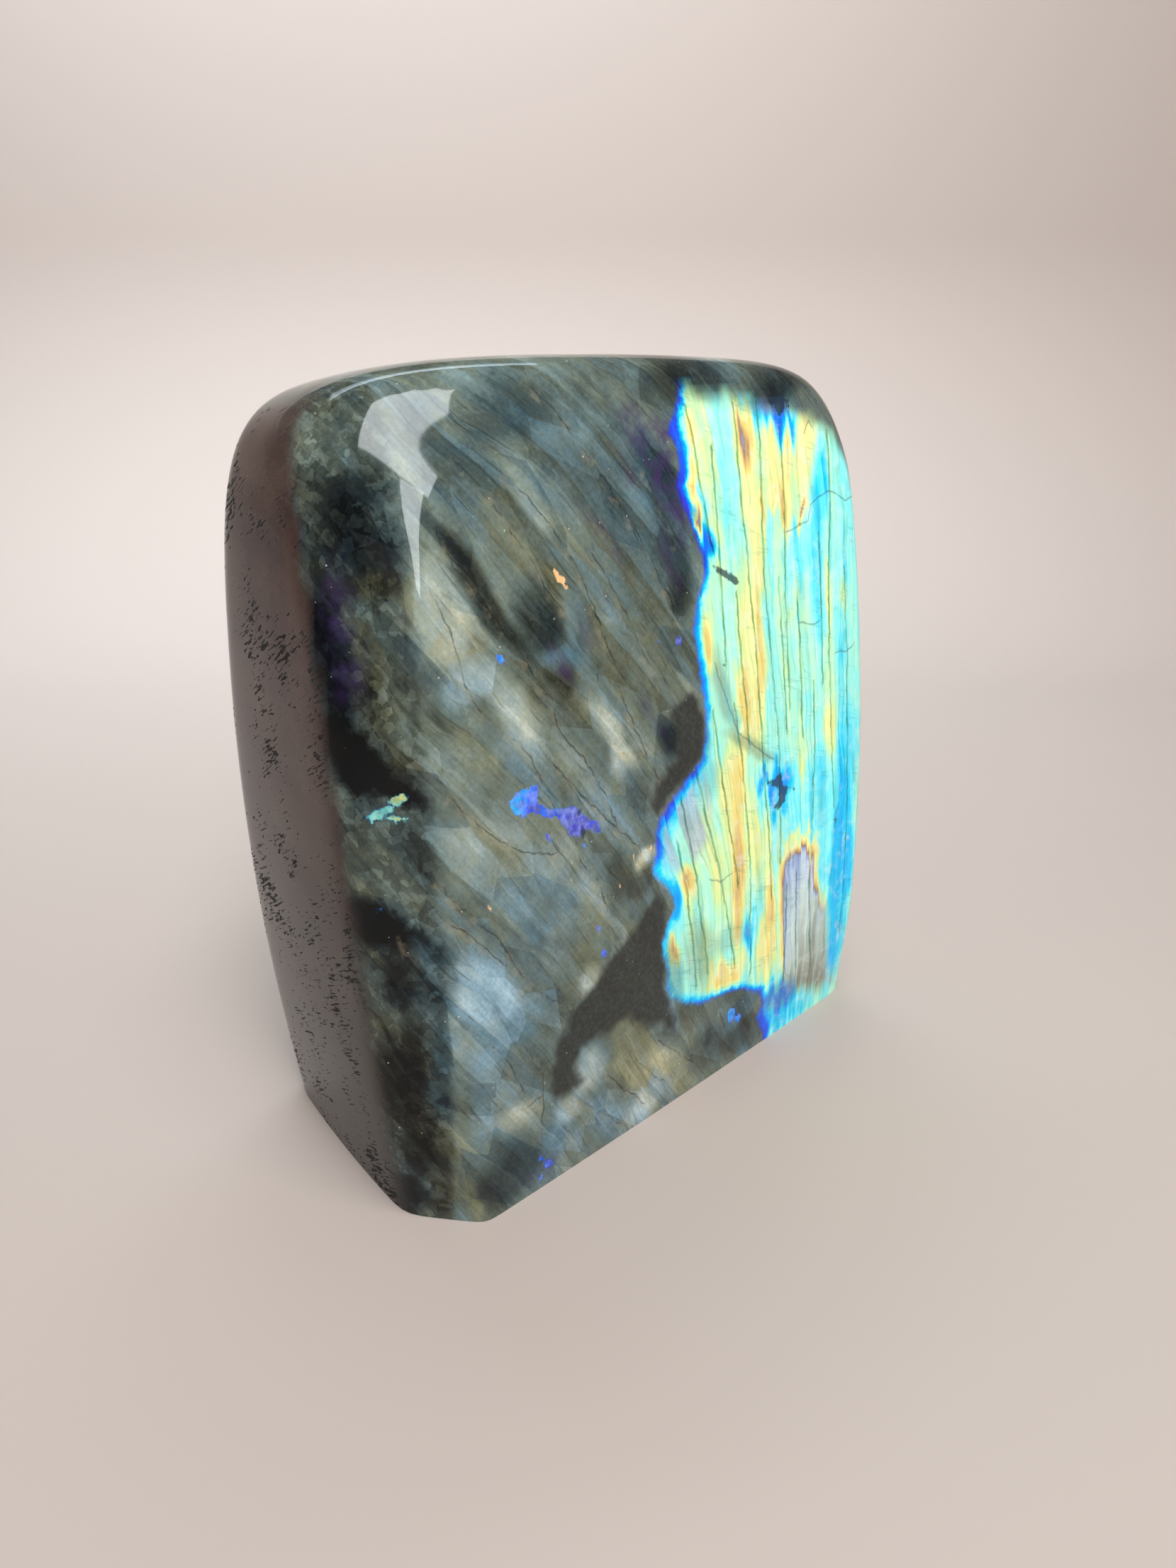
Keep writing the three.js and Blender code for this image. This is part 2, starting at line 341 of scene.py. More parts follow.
# Tone of the body, from 0 black to 1 pale grey, and its tint, from 0 olive brown through 0.5 grey
# green to 1 slate blue: (u, z, half length, half width, lean, tone, tint)
BODY_TONE = 0.54
BODY_TINT = 0.42
BODY_CONTRAST = 1.15
BODY_MARKS = [
    (-46, 89, 8, 4, 25, 0.76, 0.25), (-44, 81, 2.6, 4.5, 0, 0.76, 0.6),
    (-40, 92, 12, 1.9, 36, 0.26, 0.3), (-39, 103.5, 5, 4, 30, 0.46, 0.66),
    (-33, 96, 9, 3.8, 35, 0.52, 0.2), (-29.5, 103.5, 5, 3, 35, 0.76, 0.45),
    (-23, 100, 8, 2.6, 33, 0.62, 0.62), (-30, 86.5, 6, 3.6, 30, 0.28, 0.5),
    (-23.6, 86, 5, 1.6, 20, 0.6, 0.75), (-27, 82.5, 1.8, 3.5, 0, 0.5, 0.9),
    (-28.5, 79, 2.4, 3.5, 30, 0.28, 0.15), (-17, 90, 12, 3.6, 33, 0.58, 0.45),
    (-12, 96, 11, 3, 33, 0.5, 0.5), (-5, 103, 6, 4, 20, 0.38, 0.95), (-3, 95, 7, 3, 25, 0.38, 0.55),
    (-1.5, 87.5, 4, 2.5, 0, 0.34, 0.4), (-9, 84, 9, 3, 33, 0.52, 0.35),
    (-36, 75, 7, 3.4, 30, 0.76, 0.62), (-44, 73, 5, 5, 0, 0.6, 0.35),
    (-27, 72, 9, 2.2, 33, 0.56, 0.55), (-23, 69, 10, 1.8, 33, 0.46, 0.35),
    (-17.5, 68, 8, 2.2, 33, 0.76, 0.25), (-12.5, 70, 8, 2, 33, 0.6, 0.25),
    (-22, 61, 4, 4, 30, 0.6, 0.65), (-14, 60, 5, 3, 30, 0.44, 0.5), (-6.5, 66, 4, 2, 0, 0.3, 1),
    (-45, 60, 6, 5, 40, 0.6, 0.3), (-38, 58, 3, 7, 20, 0.56, 0.3),
    (-36, 51, 3.5, 8, 25, 0.62, 0.55), (-44, 48, 3, 7, -35, 0.52, 0.3),
    (-28, 46, 4, 4, 0, 0.6, 0.6), (-45, 38, 9, 4.2, 48, 0.72, 0.95),
    (-40, 30, 4, 6, 20, 0.58, 0.85), (-33.5, 40, 6, 3.6, 40, 0.56, 0.62),
    (-25, 41, 5, 3.4, 0, 0.62, 0.2), (-25.6, 33, 2, 2.2, 0, 0.72, 0.4),
    (-19, 48, 5, 3, 20, 0.38, 0.4), (-14, 46, 3, 4, 0, 0.38, 0.35),
    (-11.5, 48.5, 1.2, 2.4, 30, 0.82, 0.15), (-40, 22, 5, 6, 0, 0.52, 0.45),
    (-46, 19, 6, 2, 0, 0.6, 0.8), (-39, 16, 2.5, 4, 0, 0.65, 0.25), (-41, 6, 6, 5.4, 0, 0.36, 0.62),
    (-47.5, 4, 5, 1.6, 10, 0.6, 0.1), (-32.5, 7, 4, 2.4, 20, 0.52, 0.95),
    (-24, 17.5, 4, 4, 40, 0.76, 0.45), (-29, 11.5, 2.4, 3, 0, 0.7, 0.5),
    (-15, 18.5, 6, 3, 40, 0.6, 0.1), (-14, 11.5, 7, 3, 45, 0.72, 0.05),
    (-21, 6, 6, 3, 40, 0.56, 0.8), (-10, 4.5, 3, 5, 30, 0.7, 0.5), (-6, 10, 7, 2.6, 42, 0.76, 0.12),
    (0, 4.5, 6, 4.4, 40, 0.6, 0.1), (6, 7, 5, 5, 0, 0.42, 0.5), (14, 5, 4, 6, 0, 0.34, 0.5),
    (15, 10.4, 2.6, 6, 30, 0.5, 1), (-3, 23, 5, 3, 10, 0.52, 0.85),
    (-20, 112, 4, 3, 30, 0.62, 0.55), (-30, 113, 3, 6, 0, 0.46, 0.62),
    (-44, 110, 5, 4, 0, 0.44, 0.6), (8, 117, 3, 12, 0, 0.32, 0.5), (34, 117, 3, 14, 0, 0.32, 0.45),
    (24, 114, 2, 6, 0, 0.24, 0.6), (-55, 86, 9, 3, 0, 0.56, 0.3), (-66.5, 84, 10, 3, 0, 0.2, 0.75),
    (-60, 80, 5, 2.4, 40, 0.36, 0.15), (-58, 100, 7, 7, 0, 0.28, 0.6),
    (-58, 94, 1.4, 6, 0, 0.36, 0.1), (-57, 73, 4, 3, 30, 0.4, 0.2), (-65, 73.5, 4.8, 3, 50, 0, 0.5),
    (-59, 71.3, 6.4, 1.7, 58, 0.02, 0.5), (-63, 65, 4, 2.4, 0, 0.44, 0.45),
    (-57, 60, 4, 5, 0, 0.5, 0.5), (-64, 50, 5.5, 3.4, 72, 0, 0.6),
    (-57.5, 48, 6.4, 1.9, 70, 0.02, 0.6), (-55, 44, 5, 4, 0, 0.4, 0.8),
    (-61, 43, 4, 3, 0, 0.24, 0.5), (-53.5, 27, 8, 2.6, 0, 0.46, 0.85),
    (-59.5, 28, 8, 3, 0, 0.2, 0.25), (-64, 25, 9, 2, 0, 0.22, 0.35), (-58, 14, 6, 5, 0, 0.28, 0.35),
    (-54.5, 15, 4, 1.3, 0, 0.5, 0.25), (-59, 18.5, 2, 1, 0, 0.46, 0.25),
    (-54.5, 4, 3.5, 3, 0, 0.38, 0.1), (-61, 4, 4, 3.5, 0, 0.16, 0.6),
]
# Broad shifts of the body's tone and tint: (u, z, half length, half width, lean, tone, tint)
BODY_SHIFTS = [
    (-30, 54, 20, 22, 0, 0.06, 0.16), (-23, 109, 10, 18, 0, -0.09, 0.16),
    (-46, 84, 12, 8, 0, -0.06, 0), (-10, 0, 7, 34, 0, 0.11, 0.06), (-4, 9, 7, 12, 0, 0.06, 0),
    (-41, 24, 10, 8, 0, 0.05, 0.08), (-27, 9, 8, 8, 0, 0.07, 0.06), (-58, 38, 26, 8, 0, 0.05, 0),
    (-7, 98, 16, 9, 10, -0.03, 0.2),
]
# Painted shade: the body's tone is lowered by this much over the facet and the left side, so these
# faces look darker as whole faces
FACET_PAINTED_SHADE = 0.16
# Violet stains in the dark part: (u, z, half length, half width, lean, strength)
VIOLET_STAINS = [
    (-5, 104, 5, 2.8, 20, 0.9), (-2.4, 109, 3, 1.6, 10, 0.8), (-2, 99, 5, 1.6, 20, 0.7),
    (-8, 110, 3.5, 3.5, 30, 0.65), (-12, 104, 4, 1.2, 33, 0.45), (-4, 92, 5, 1.4, 25, 0.35),
    (-63.8, 88, 8, 2, 0, 0.6), (-27.5, 82, 3, 1.4, 30, 0.5), (-22, 85, 3, 1.2, 30, 0.35),
    (-34, 2.6, 3, 3, 0, 0.4), (-10, 72, 5, 1, 33, 0.3), (-17, 97, 6, 1.1, 35, 0.3),
]
# Small cream and orange flecks
CREAM_FLECKS = [
    [(-27.6, 93.4), (-27, 93.8), (-26.3, 92.6), (-25.5, 92.4), (-25, 91), (-25.5, 90.4),
     (-25.9, 91.6), (-26.8, 91.8), (-27.2, 92.6)],
    [(-43.9, 51.8), (-43.4, 51.5), (-43.1, 50.2), (-43.5, 50.3)],
    [(-15.4, 50.2), (-14.9, 50.4), (-14.6, 48.9), (-15, 48.6)],
    [(-18.4, 46.7), (-17.8, 46.6), (-17.7, 45.5), (-18.2, 45.4)],
    [(-11.6, 50.4), (-11, 50.6), (-10.8, 49.2), (-11.4, 49)],
]
# Smooth charcoal areas without grain
CHARCOAL = [
    [(-10, 42), (-16, 37), (-20, 35), (-24, 32), (-29, 29), (-31, 25), (-32.5, 22), (-33, 18),
     (-32, 15), (-27, 15), (-25.5, 16), (-28, 19), (-27, 21.5), (-22, 23), (-16, 23.5), (-13, 21),
     (-11, 19), (-8, 18.5), (-6, 16), (-4, 15), (-4, 18), (-6, 20), (-6.6, 24), (-6.6, 28),
     (-8.2, 32), (-6.6, 36), (-7.5, 40)],
    [(-2, 72.2), (0, 72.3), (1.8, 70.5), (2.4, 68), (2, 65), (1, 61.5), (-1.5, 60), (-4, 57.8),
     (-7, 56.2), (-9.5, 55), (-11, 57), (-9, 60), (-5.5, 61.5), (-4.5, 65), (-5.5, 69), (-4.5, 71)],
]
# Dark inclusions inside the flash and the small blue patch
INCLUSIONS = [
    [(5.4, 90.3), (8, 89.4), (10.5, 88.2), (12.2, 86.8), (11.6, 86), (9, 87.4), (6.6, 88.8)],
    [(17.8, 53.6), (19.4, 52.6), (21, 52.8), (22.6, 53.6), (23.2, 51), (25, 50), (27.6, 49.6),
     (26.8, 49), (24.4, 49.2), (24, 47.6), (22, 46.6), (20.4, 47.4), (22, 48.6), (22, 50.6),
     (20.4, 51.2), (18.6, 51.8)],
    [(22.4, 112.6), (24.2, 112.2), (25.2, 110.4), (26.2, 110.8), (27.6, 112.6), (28.2, 111.4),
     (29, 112.8), (26.6, 113.8), (24, 113.6)],
    [(-26.8, 60.2), (-25.8, 60.6), (-25.4, 59.6), (-26.2, 59.2)],
    [(-26, 57.6), (-25, 57.4), (-24.6, 56), (-25.2, 55.4), (-26, 56.2)],
    [(6.9, 75.2), (7.6, 75), (7.5, 74.3), (6.9, 74.4)],
    [(40, 39.8), (41.2, 39.6), (41, 38.8), (40, 39)],
]
# Dark lines between the layers of the flash, and its cracks, in groups whose lines keep apart
FLASH_LINES = [
    [
        [(19.8, 113), (19.5, 104), (18.6, 95), (18.6, 86), (19.8, 72), (21.8, 60), (22.4, 48),
         (23.4, 36)],
        [(25.2, 110), (25.1, 98), (24.4, 88), (24.2, 76), (25, 64)],
        [(7.5, 107), (7.6, 95), (7.4, 84), (7.8, 74)],
        [(4.3, 68), (6, 58), (8.2, 48), (11.2, 36)],
        [(9.6, 68), (12, 56), (13.6, 44), (15.2, 30), (16.5, 17)],
        [(38.8, 108), (38.4, 96), (37, 84), (37, 70), (38, 56), (40, 42)],
        [(42, 85), (43, 62), (44.6, 40), (46, 14)],
        [(32, 67), (32.6, 54), (33, 42)],
        [(-5, 49), (-2.5, 40), (-0.8, 31), (0.8, 21)],
        [(28.8, 33), (29.8, 22), (31.5, 12)],
    ],
    [
        [(14, 113), (13.8, 100), (14.4, 86), (15.6, 74), (16.8, 62), (18, 52), (19.2, 44),
         (21.4, 30)],
        [(22.4, 86), (23, 74), (24.2, 60)],
        [(2.6, 113), (4, 103), (6, 92)],
        [(11, 85), (11.6, 74), (13.6, 60)],
        [(-0.6, 60), (3, 49), (7, 37), (11.5, 21)],
        [(-4, 56), (-1, 45), (1.4, 34), (4, 22)],
        [(27.6, 82), (28, 70), (29, 58)],
        [(34.6, 92), (34.6, 78), (35, 66)],
        [(26, 31), (26.6, 20), (27.6, 11)],
        [(33, 30), (35, 18), (37, 9)],
    ],
    [
        [(25.2, 93), (28, 93.4), (31.5, 94), (32.4, 96.5), (34.6, 97.4), (38, 98.3), (40.6, 97.5),
         (43, 96), (45, 96.6), (48, 97)],
        [(5, 75), (8, 68.5), (10.4, 63), (15, 59.6), (20.4, 56)],
        [(32, 108), (33.6, 109.6), (34.4, 108.6)],
        [(3.4, 40), (6, 38.6), (9, 38.9)],
        [(28, 78), (31.4, 77), (33.6, 77.4)],
        [(39, 71), (42.4, 70.4), (44.6, 71.2)],
    ],
]
# Cracks and cleavage lines of the body, grouped in the same way
BODY_LINES = [
    [
        [(-36, 108.5), (-33, 105), (-30, 102.5), (-27, 99), (-24.5, 96), (-22.5, 92), (-20.5, 87.5),
         (-18.8, 83), (-17, 79)],
        [(-13, 100), (-9.5, 95), (-6, 89), (-4, 86)],
        [(-46, 100), (-44.5, 96.5), (-42, 93.5), (-39, 90), (-36.5, 86.5), (-34, 83), (-32, 79.5),
         (-30, 77), (-29, 73), (-27.5, 71), (-25.5, 68.5), (-23.5, 66), (-21.5, 63), (-20, 60),
         (-18.5, 56)],
        [(-52, 57), (-48.5, 53), (-45, 49), (-42, 46), (-40.5, 43), (-39, 40), (-36, 36.5),
         (-33, 33.5), (-30, 31), (-28, 30.3)],
        [(-15, 16), (-12, 12), (-9.5, 9), (-7, 6.5), (-5, 5)],
        [(-26, 12), (-23, 9), (-20, 6), (-17, 3), (-15, 1.5)],
        [(-38, 27.5), (-36, 24), (-34.5, 21), (-34.2, 16), (-34.5, 12)],
        [(-79, 75), (-73, 71), (-68, 67)],
    ],
    [
        [(-24.5, 116), (-22, 112.5), (-20, 109), (-17.5, 106), (-14, 101), (-12, 98), (-10, 94.5),
         (-7.5, 90.5), (-4.5, 86.5), (-3, 83)],
        [(-20, 95), (-18, 92), (-16, 89), (-14.5, 86), (-12, 81), (-10, 78), (-8, 74)],
        [(-38, 73.5), (-36, 72), (-34.5, 70), (-33, 67), (-31.8, 64), (-30.3, 61), (-28.5, 58.5),
         (-27, 56), (-26.3, 53), (-25, 50.5), (-23, 48.5), (-21.5, 45), (-20, 41.5)],
        [(-52, 52.5), (-47, 48), (-44, 44.5), (-41, 41.5)],
        [(-20, 14), (-17, 10), (-13, 6), (-11, 3.5)],
        [(-8, 15), (-4, 11), (-1, 8), (2, 5.5)],
        [(-59, 49), (-57.4, 44.5)],
        [(-37, 17), (-34.6, 17.3)],
    ],
    [
        [(-50, 69), (-47, 66), (-44, 63), (-42, 61), (-40, 59.5), (-37, 57), (-34, 56), (-31, 55)],
        [(-40, 108), (-37, 104), (-34, 99), (-31, 95), (-28.6, 91), (-26, 88)],
        [(-17, 76), (-15, 72), (-13, 68), (-10.6, 63), (-9, 60)],
        [(-48, 93), (-45.6, 88), (-44.6, 82), (-42, 77)],
        [(-30, 68), (-26, 63), (-22, 59), (-17, 54), (-13, 50)],
        [(-44, 30), (-41, 26), (-38, 20)],
        [(-8, 104), (-5.4, 99), (-3, 94)],
    ],
]

# Fields laid on the stone's points. The middle of the block that the faces make is this far
# behind their own y of 0:
MIDDLE_Y = 1.612
# Shares of the way back from the front that the marks' map runs on round the two edges
LEFT_RUN = 0.9
RIGHT_RUN = 0.8
# Between which values something passes from 0 to 1: normals, places on the map or in the stone,
# or the reach of a patch, which is 1 on its rim
FADES = {
    "seen": (0.15, 0.5), "left_side": (0.5, 0.7), "left_turned": (-0.14, 0.08),
    "left_edge": (35, 48), "right_edge": (45, 55), "facet_right": (51, 53), "facet_left": (66, 70),
    "flash_facing": (0.02, 0.3), "flash_right": (0.7, 0.9), "flash_behind": (2, 14),
    "flash_top": (-3.2, 1.2), "left_to_middle": (3, 16), "middle_to_right": (28, 40),
    "wide_rim": (0.6, 1.1), "lobe": (0.8, 1.2), "tooth_edge": (4, 16), "patch_left": (33, 38),
    "body_shift": (0.3, 1.3), "line_near": (1.0, 1.8),
}
# Noise of the fields: (width of its lumps, seed, height)
NOISES = {
    "wave_u": (7, 1, 0.9), "wave_z": (7, 2, 0.9), "ripple_u": (2.6, 3, 0.4),
    "ripple_z": (2.6, 4, 0.4), "unseen_tone": (13, 5, 0.2), "unseen_tone_fine": (5, 6, 0.1),
    "unseen_tint": (17, 7, 0.35), "grain": (30, 8, 1.8), "layer_fray": (1.1, 9, 3),
    "flash_top": (2, 11, 0.8), "patch_order": (3, 12, 0.1), "rim_order": (6, 13, 0.04),
}
NOISE_LATTICE = 32
NOISE_SHIFT = 64
# How much of the wavering reaches each kind of outline
ORDER_FRAY = 0.7
TOOTH_FRAY = 0.4
BODY_FRAY = 1.4
LINE_FRAY = 0.25
# How softly patches end, as a share of their size
SOFT = 0.5
TINT_SOFT = 0.6
# Depths in from an outline, and distances from a line, are told apart within these
FLASH_DEPTHS = (-6, 14)
TOOTH_DEPTHS = (-4, 8)
SMALL_DEPTH = 4
CHARCOAL_DEPTH = 6
LINE_REACH = 3
FAR = 9.0
# Film order of the small blue patch, and of its left end, and how far a spot's own order reaches
PATCH_ORDER = 0.02
PATCH_ORDER_LEFT = 0.16
SPOT_REACH = 1.5
# The tooth's brown edge is seen above a line that rises to the right of this u
TOOTH_EDGE_FROM = 25
TOOTH_EDGE_RISE = 0.9
RIGHT_SIDE_SHARE = 0.75
UNSEEN_TONE = 0.5
UNSEEN_TINT = 0.45
# The body's grain, and the slant of the pits on the left side
GRAIN_LEAN = math.radians(35)
PIT_SLANT = math.radians(28)


def fade(value, name):
    return smoothstep(value, *FADES[name])


def noise(places, name):
    """Smooth seeded noise, about as far below 0 as above it."""
    width, seed, height = NOISES[name]
    lattice = np.random.default_rng(seed).uniform(-1, 1, [NOISE_LATTICE] * 3)
    place = places / width + NOISE_SHIFT
    cell = np.floor(place).astype(int)
    share = smoothstep(place - cell, 0, 1)
    total = np.zeros(len(places))
    for corner in np.ndindex(2, 2, 2):
        weight = np.prod(np.where(corner, share, 1 - share), axis=1)
        total += weight * lattice[tuple((cell + corner).T % NOISE_LATTICE)]
    return height * total


def read_off(place, marks):
    """The value at each place of a line through (place, value) marks."""
    return np.interp(place, *zip(*marks))


def from_stretch(place, start, way):
    """Distance to a straight stretch, the side it is passed on, and the share of its length."""
    off = place - start
    along = off @ way / (way @ way)
    distance = np.hypot(*(off - np.clip(along, 0, 1)[:, None] * way).T)
    return distance, np.sign(off[:, 1] * way[0] - off[:, 0] * way[1]), along


def outline_depth(place, outline):
    """Distance in from an outline, below zero outside it."""
    inside = np.zeros(len(place), bool)
    nearest = np.full(len(place), np.inf)
    corners = np.array(outline, float)
    for start, way in zip(corners, np.roll(corners, -1, axis=0) - corners):
        nearest = np.minimum(nearest, from_stretch(place, start, way)[0])
        off_u, off_z = (place - start).T
        crosses = (off_z < 0) != (off_z < way[1])
        inside ^= crosses & (off_u < off_z * way[0] / (way[1] or 1))
    return np.where(inside, nearest, -nearest)


def deepest(place, outlines, limit=SMALL_DEPTH):
    """Distance in from the nearest of some outlines, held within a limit."""
    depth = np.full(len(place), -float(limit))
    for outline in outlines:
        depth = np.maximum(depth, outline_depth(place, outline))
    return np.clip(depth, -limit, limit)


def patch_reach(place, u, z, half_length, half_width, lean):
    """0 in the middle of a leaning oval patch and 1 on its rim."""
    lean = math.radians(lean)
    off_u, off_z = place[:, 0] - u, place[:, 1] - z
    along = off_z * math.cos(lean) - off_u * math.sin(lean)
    across = off_u * math.cos(lean) + off_z * math.sin(lean)
    return np.hypot(along / half_length, across / half_width)


def blend_patches(start, place, patches, softness=SOFT):
    """A field even at first, with each oval patch's own value laid over it in turn."""
    field = np.full(len(place), float(start))
    for *patch, value in patches:
        weight = 1 - smoothstep(patch_reach(place, *patch), 1 - softness, 1 + softness)
        field = field + (value - field) * weight
    return field


def line_field(place, lines):
    """Signed distance to the nearest of some lines, and 1 close to it falling to 0 away from it."""
    nearest = np.full(len(place), FAR)
    side = np.ones(len(place))
    near = np.zeros(len(place))
    for line in lines:
        corners = np.array(line, float)
        ways = np.diff(corners, axis=0)
        for n, (start, way) in enumerate(zip(corners, ways)):
            distance, way_side, along = from_stretch(place, start, way)
            overrun = np.abs(along - np.clip(along, 0, 1)) * np.hypot(*way)
            is_end = ((along < 0) & (n == 0)) | ((along > 1) & (n == len(ways) - 1))
            kept = 1 - smoothstep(np.where(is_end, overrun, 0), 0, 1)
            closer = distance < nearest
            nearest = np.where(closer, distance, nearest)
            side = np.where(closer, way_side, side)
            near = np.where(closer, (1 - fade(distance, "line_near")) * kept, near)
    return side * np.minimum(nearest, LINE_REACH), near


def laid_out(points):
    """Map places (u, z): x on the front, run on round the ridge to the left and the right edge."""
    x, y, z = points.T
    lean = math.radians(FRONT["lean"])
    front_y = FRONT["y"] - MIDDLE_Y + z * math.tan(lean) + bow_in(z, FRONT["bow"])
    behind = np.maximum(y - front_y, 0)
    to_left = LEFT_RUN * behind * fade(-x, "left_edge")
    to_right = RIGHT_RUN * behind * fade(x, "right_edge")
    return np.stack([x + MARKS_LEFT - to_left + to_right, z], axis=1)


def wavering(points):
    """How far the marks' outlines are pushed aside at each point, in broad waves and ripples."""
    ways = [noise(points, f"wave_{way}") + noise(points, f"ripple_{way}") for way in "uz"]
    return np.stack(ways, axis=1)


def layer_places(place):
    """Distance across the layers of the flash, which lean and spread a little towards the base."""
    u, z = place.T
    families = (LEFT_LAYERS, MIDDLE_LAYERS, RIGHT_LAYERS)
    left, middle, right = (read_off(z, marks) for marks in families)
    shift = left + (middle - left) * fade(u, "left_to_middle")
    shift = shift + (right - shift) * fade(u, "middle_to_right")
    return u - shift


def flash_side(points, normals, place):
    """1 where the band of flash is at full strength, less over the top and round the right edge."""
    u, z = place.T
    facing = fade(-normals[:, 1], "flash_facing")
    right = fade(normals[:, 0], "flash_right") * fade(-points[:, 1], "flash_behind")
    above_top = z + noise(points, "flash_top") - read_off(u, FLASH_TOP)
    return np.maximum(facing, RIGHT_SIDE_SHARE * right) * (1 - fade(above_top, "flash_top"))


def side_fields(points, normals, underside, place):
    """Which side of the stone each point is on."""
    left = -place[:, 0]
    left_side = fade(normals[:, 1], "left_turned") * fade(-normals[:, 0], "left_side")
    return {
        "height": points[:, 2],
        "seen": fade(np.maximum(-normals[:, 1], -normals[:, 0]), "seen"),
        "facet": fade(left, "facet_right") * (1 - fade(left, "facet_left")),
        "left_side": left_side,
        "flash_side": flash_side(points, normals, place),
        "sawn": underside.astype(float),
    }


def flash_fields(points, place, warp):
    """The band of flash: depth in from its outline, film order, rim, tooth, lobe and veils."""
    u, z = place.T
    layers = layer_places(place)
    frayed = place + warp * ORDER_FRAY
    frayed[:, 1] += noise(np.outer(layers, [1, 0, 0]), "layer_fray")
    rim_share = 1 - fade(patch_reach(place, *WIDE_RIM_AT), "wide_rim")
    tooth_line = z - TOOTH_EDGE_RISE * (u - TOOTH_EDGE_FROM)
    return {
        "layers": layers,
        "flash_depth": np.clip(outline_depth(place, FLASH_BAND), *FLASH_DEPTHS),
        "film_order": blend_patches(ORDER_AT_CORE, frayed, ORDERS),
        "rim": RIM + WIDER_RIM * rim_share,
        "rim_order": read_off(z, RIM_ORDERS) + noise(points, "rim_order"),
        "tooth_depth": np.clip(outline_depth(place + warp * TOOTH_FRAY, TOOTH), *TOOTH_DEPTHS),
        "tooth_order": read_off(z, TOOTH_ORDERS),
        "tooth_edge": fade(tooth_line, "tooth_edge"),
        "lobe": 1 - fade(patch_reach(place, *LOBE), "lobe"),
        "veil": blend_patches(0, place + warp, VEILS),
    }


def patch_fields(points, place, warp):
    """Depth and film order of the small blue patch and of the separate spots of flash."""
    depth = outline_depth(place, BLUE_PATCH)
    order = PATCH_ORDER + noise(points, "patch_order")
    order = order + PATCH_ORDER_LEFT * fade(-place[:, 0], "patch_left")
    for *spot, value in FLASH_SPOTS:
        reach = patch_reach(place + warp, *spot)
        depth = np.maximum(depth, (1 - reach) * min(spot[2:4]))
        order = np.where(reach < SPOT_REACH, value, order)
    return {"patch_depth": np.clip(depth, -SMALL_DEPTH, SMALL_DEPTH), "patch_order": order}


def body_fields(points, place, warp, seen):
    """Tone, tint and stains of the body; where it isn't seen in the photo they only drift."""
    body_place = place + warp * BODY_FRAY
    tones = [(*patch, tone) for *patch, tone, _ in BODY_MARKS]
    tints = [(*patch, tint) for *patch, _, tint in BODY_MARKS]
    tone = blend_patches(BODY_TONE, body_place, tones)
    tint = blend_patches(BODY_TINT, body_place, tints, TINT_SOFT)
    for *patch, tone_shift, tint_shift in BODY_SHIFTS:
        weight = 1 - fade(patch_reach(body_place, *patch), "body_shift")
        tone = tone + tone_shift * weight
        tint = tint + tint_shift * weight
    tone = BODY_TONE + (tone - BODY_TONE) * BODY_CONTRAST
    # Painted shade: the facet and the left side are darkened as whole faces
    tone = tone - FACET_PAINTED_SHADE * fade(-place[:, 0], "facet_right")
    unseen_tone = UNSEEN_TONE + noise(points, "unseen_tone") + noise(points, "unseen_tone_fine")
    unseen_tint = UNSEEN_TINT + noise(points, "unseen_tint")
    return {
        "tone": unseen_tone + (tone - unseen_tone) * seen,
        "tint": unseen_tint + (tint - unseen_tint) * seen,
        "violet": blend_patches(0, body_place, VIOLET_STAINS, TINT_SOFT),
        "cream": deepest(place, CREAM_FLECKS),
        "charcoal": deepest(place + warp, CHARCOAL, CHARCOAL_DEPTH),
        "inclusion": deepest(place, INCLUSIONS),
    }


def line_fields(place):
    """Signed distance and nearness of every group of drawn lines."""
    fields = {}
    for name, groups in (("flash_line", FLASH_LINES), ("body_line", BODY_LINES)):
        for n, lines in enumerate(groups):
            fields[f"{name}_{n}"], fields[f"{name}_near_{n}"] = line_field(place, lines)
    return fields


def stone_fields(points, normals, underside):
    """All the fields of the looks, and the marks' map."""
    place = laid_out(points)
    warp = wavering(points)
    fields = side_fields(points, normals, underside, place)
    fields |= flash_fields(points, place, warp)
    fields |= patch_fields(points, place, warp)
    fields |= body_fields(points, place, warp, fields["seen"])
    fields |= line_fields(place + warp * LINE_FRAY)
    return fields, place


def grain_places(points, u, seen):
    """Places across and along the body's slanting grain, which follows the map where it is seen."""
    x, y, z = points.T
    right = x + (u - x) * seen
    along = z * math.cos(GRAIN_LEAN) - right * math.sin(GRAIN_LEAN)
    across = right * math.cos(GRAIN_LEAN) + z * math.sin(GRAIN_LEAN)
    across = across + noise(points, "grain")
    return np.stack([across, y, along], axis=1)


def pit_places(points):
    """Places along and across the slanting pits of the left side."""
    x, y, z = points.T
    along = z * math.sin(PIT_SLANT) - y * math.cos(PIT_SLANT)
    across = z * math.cos(PIT_SLANT) + y * math.sin(PIT_SLANT)
    return np.stack([along, across, x], axis=1)


def put_fields(mesh, fields, places):
    """Fields and places kept on a mesh, where the shader reads them by name."""
    for name, values in fields.items():
        layer = mesh.attributes.new(name, "FLOAT", "POINT")
        layer.data.foreach_set("value", values.astype(np.float32))
    for name, values in places.items():
        layer = mesh.attributes.new(name, "FLOAT_VECTOR", "POINT")
        layer.data.foreach_set("vector", values.astype(np.float32).ravel())


# Shader: a few short ways to join nodes. Noise from 0 to 1 is widened this much round 0:
NOISE_REACH = 3.2


def linear(*rgb):
    """A colour given as 0 to 255, as linear light by the usual curve of screens."""
    share = np.array(rgb) / 255
    light = np.where(share <= 0.04045, share / 12.92, ((share + 0.055) / 1.055) ** 2.4)
    return (*light.tolist(), 1)


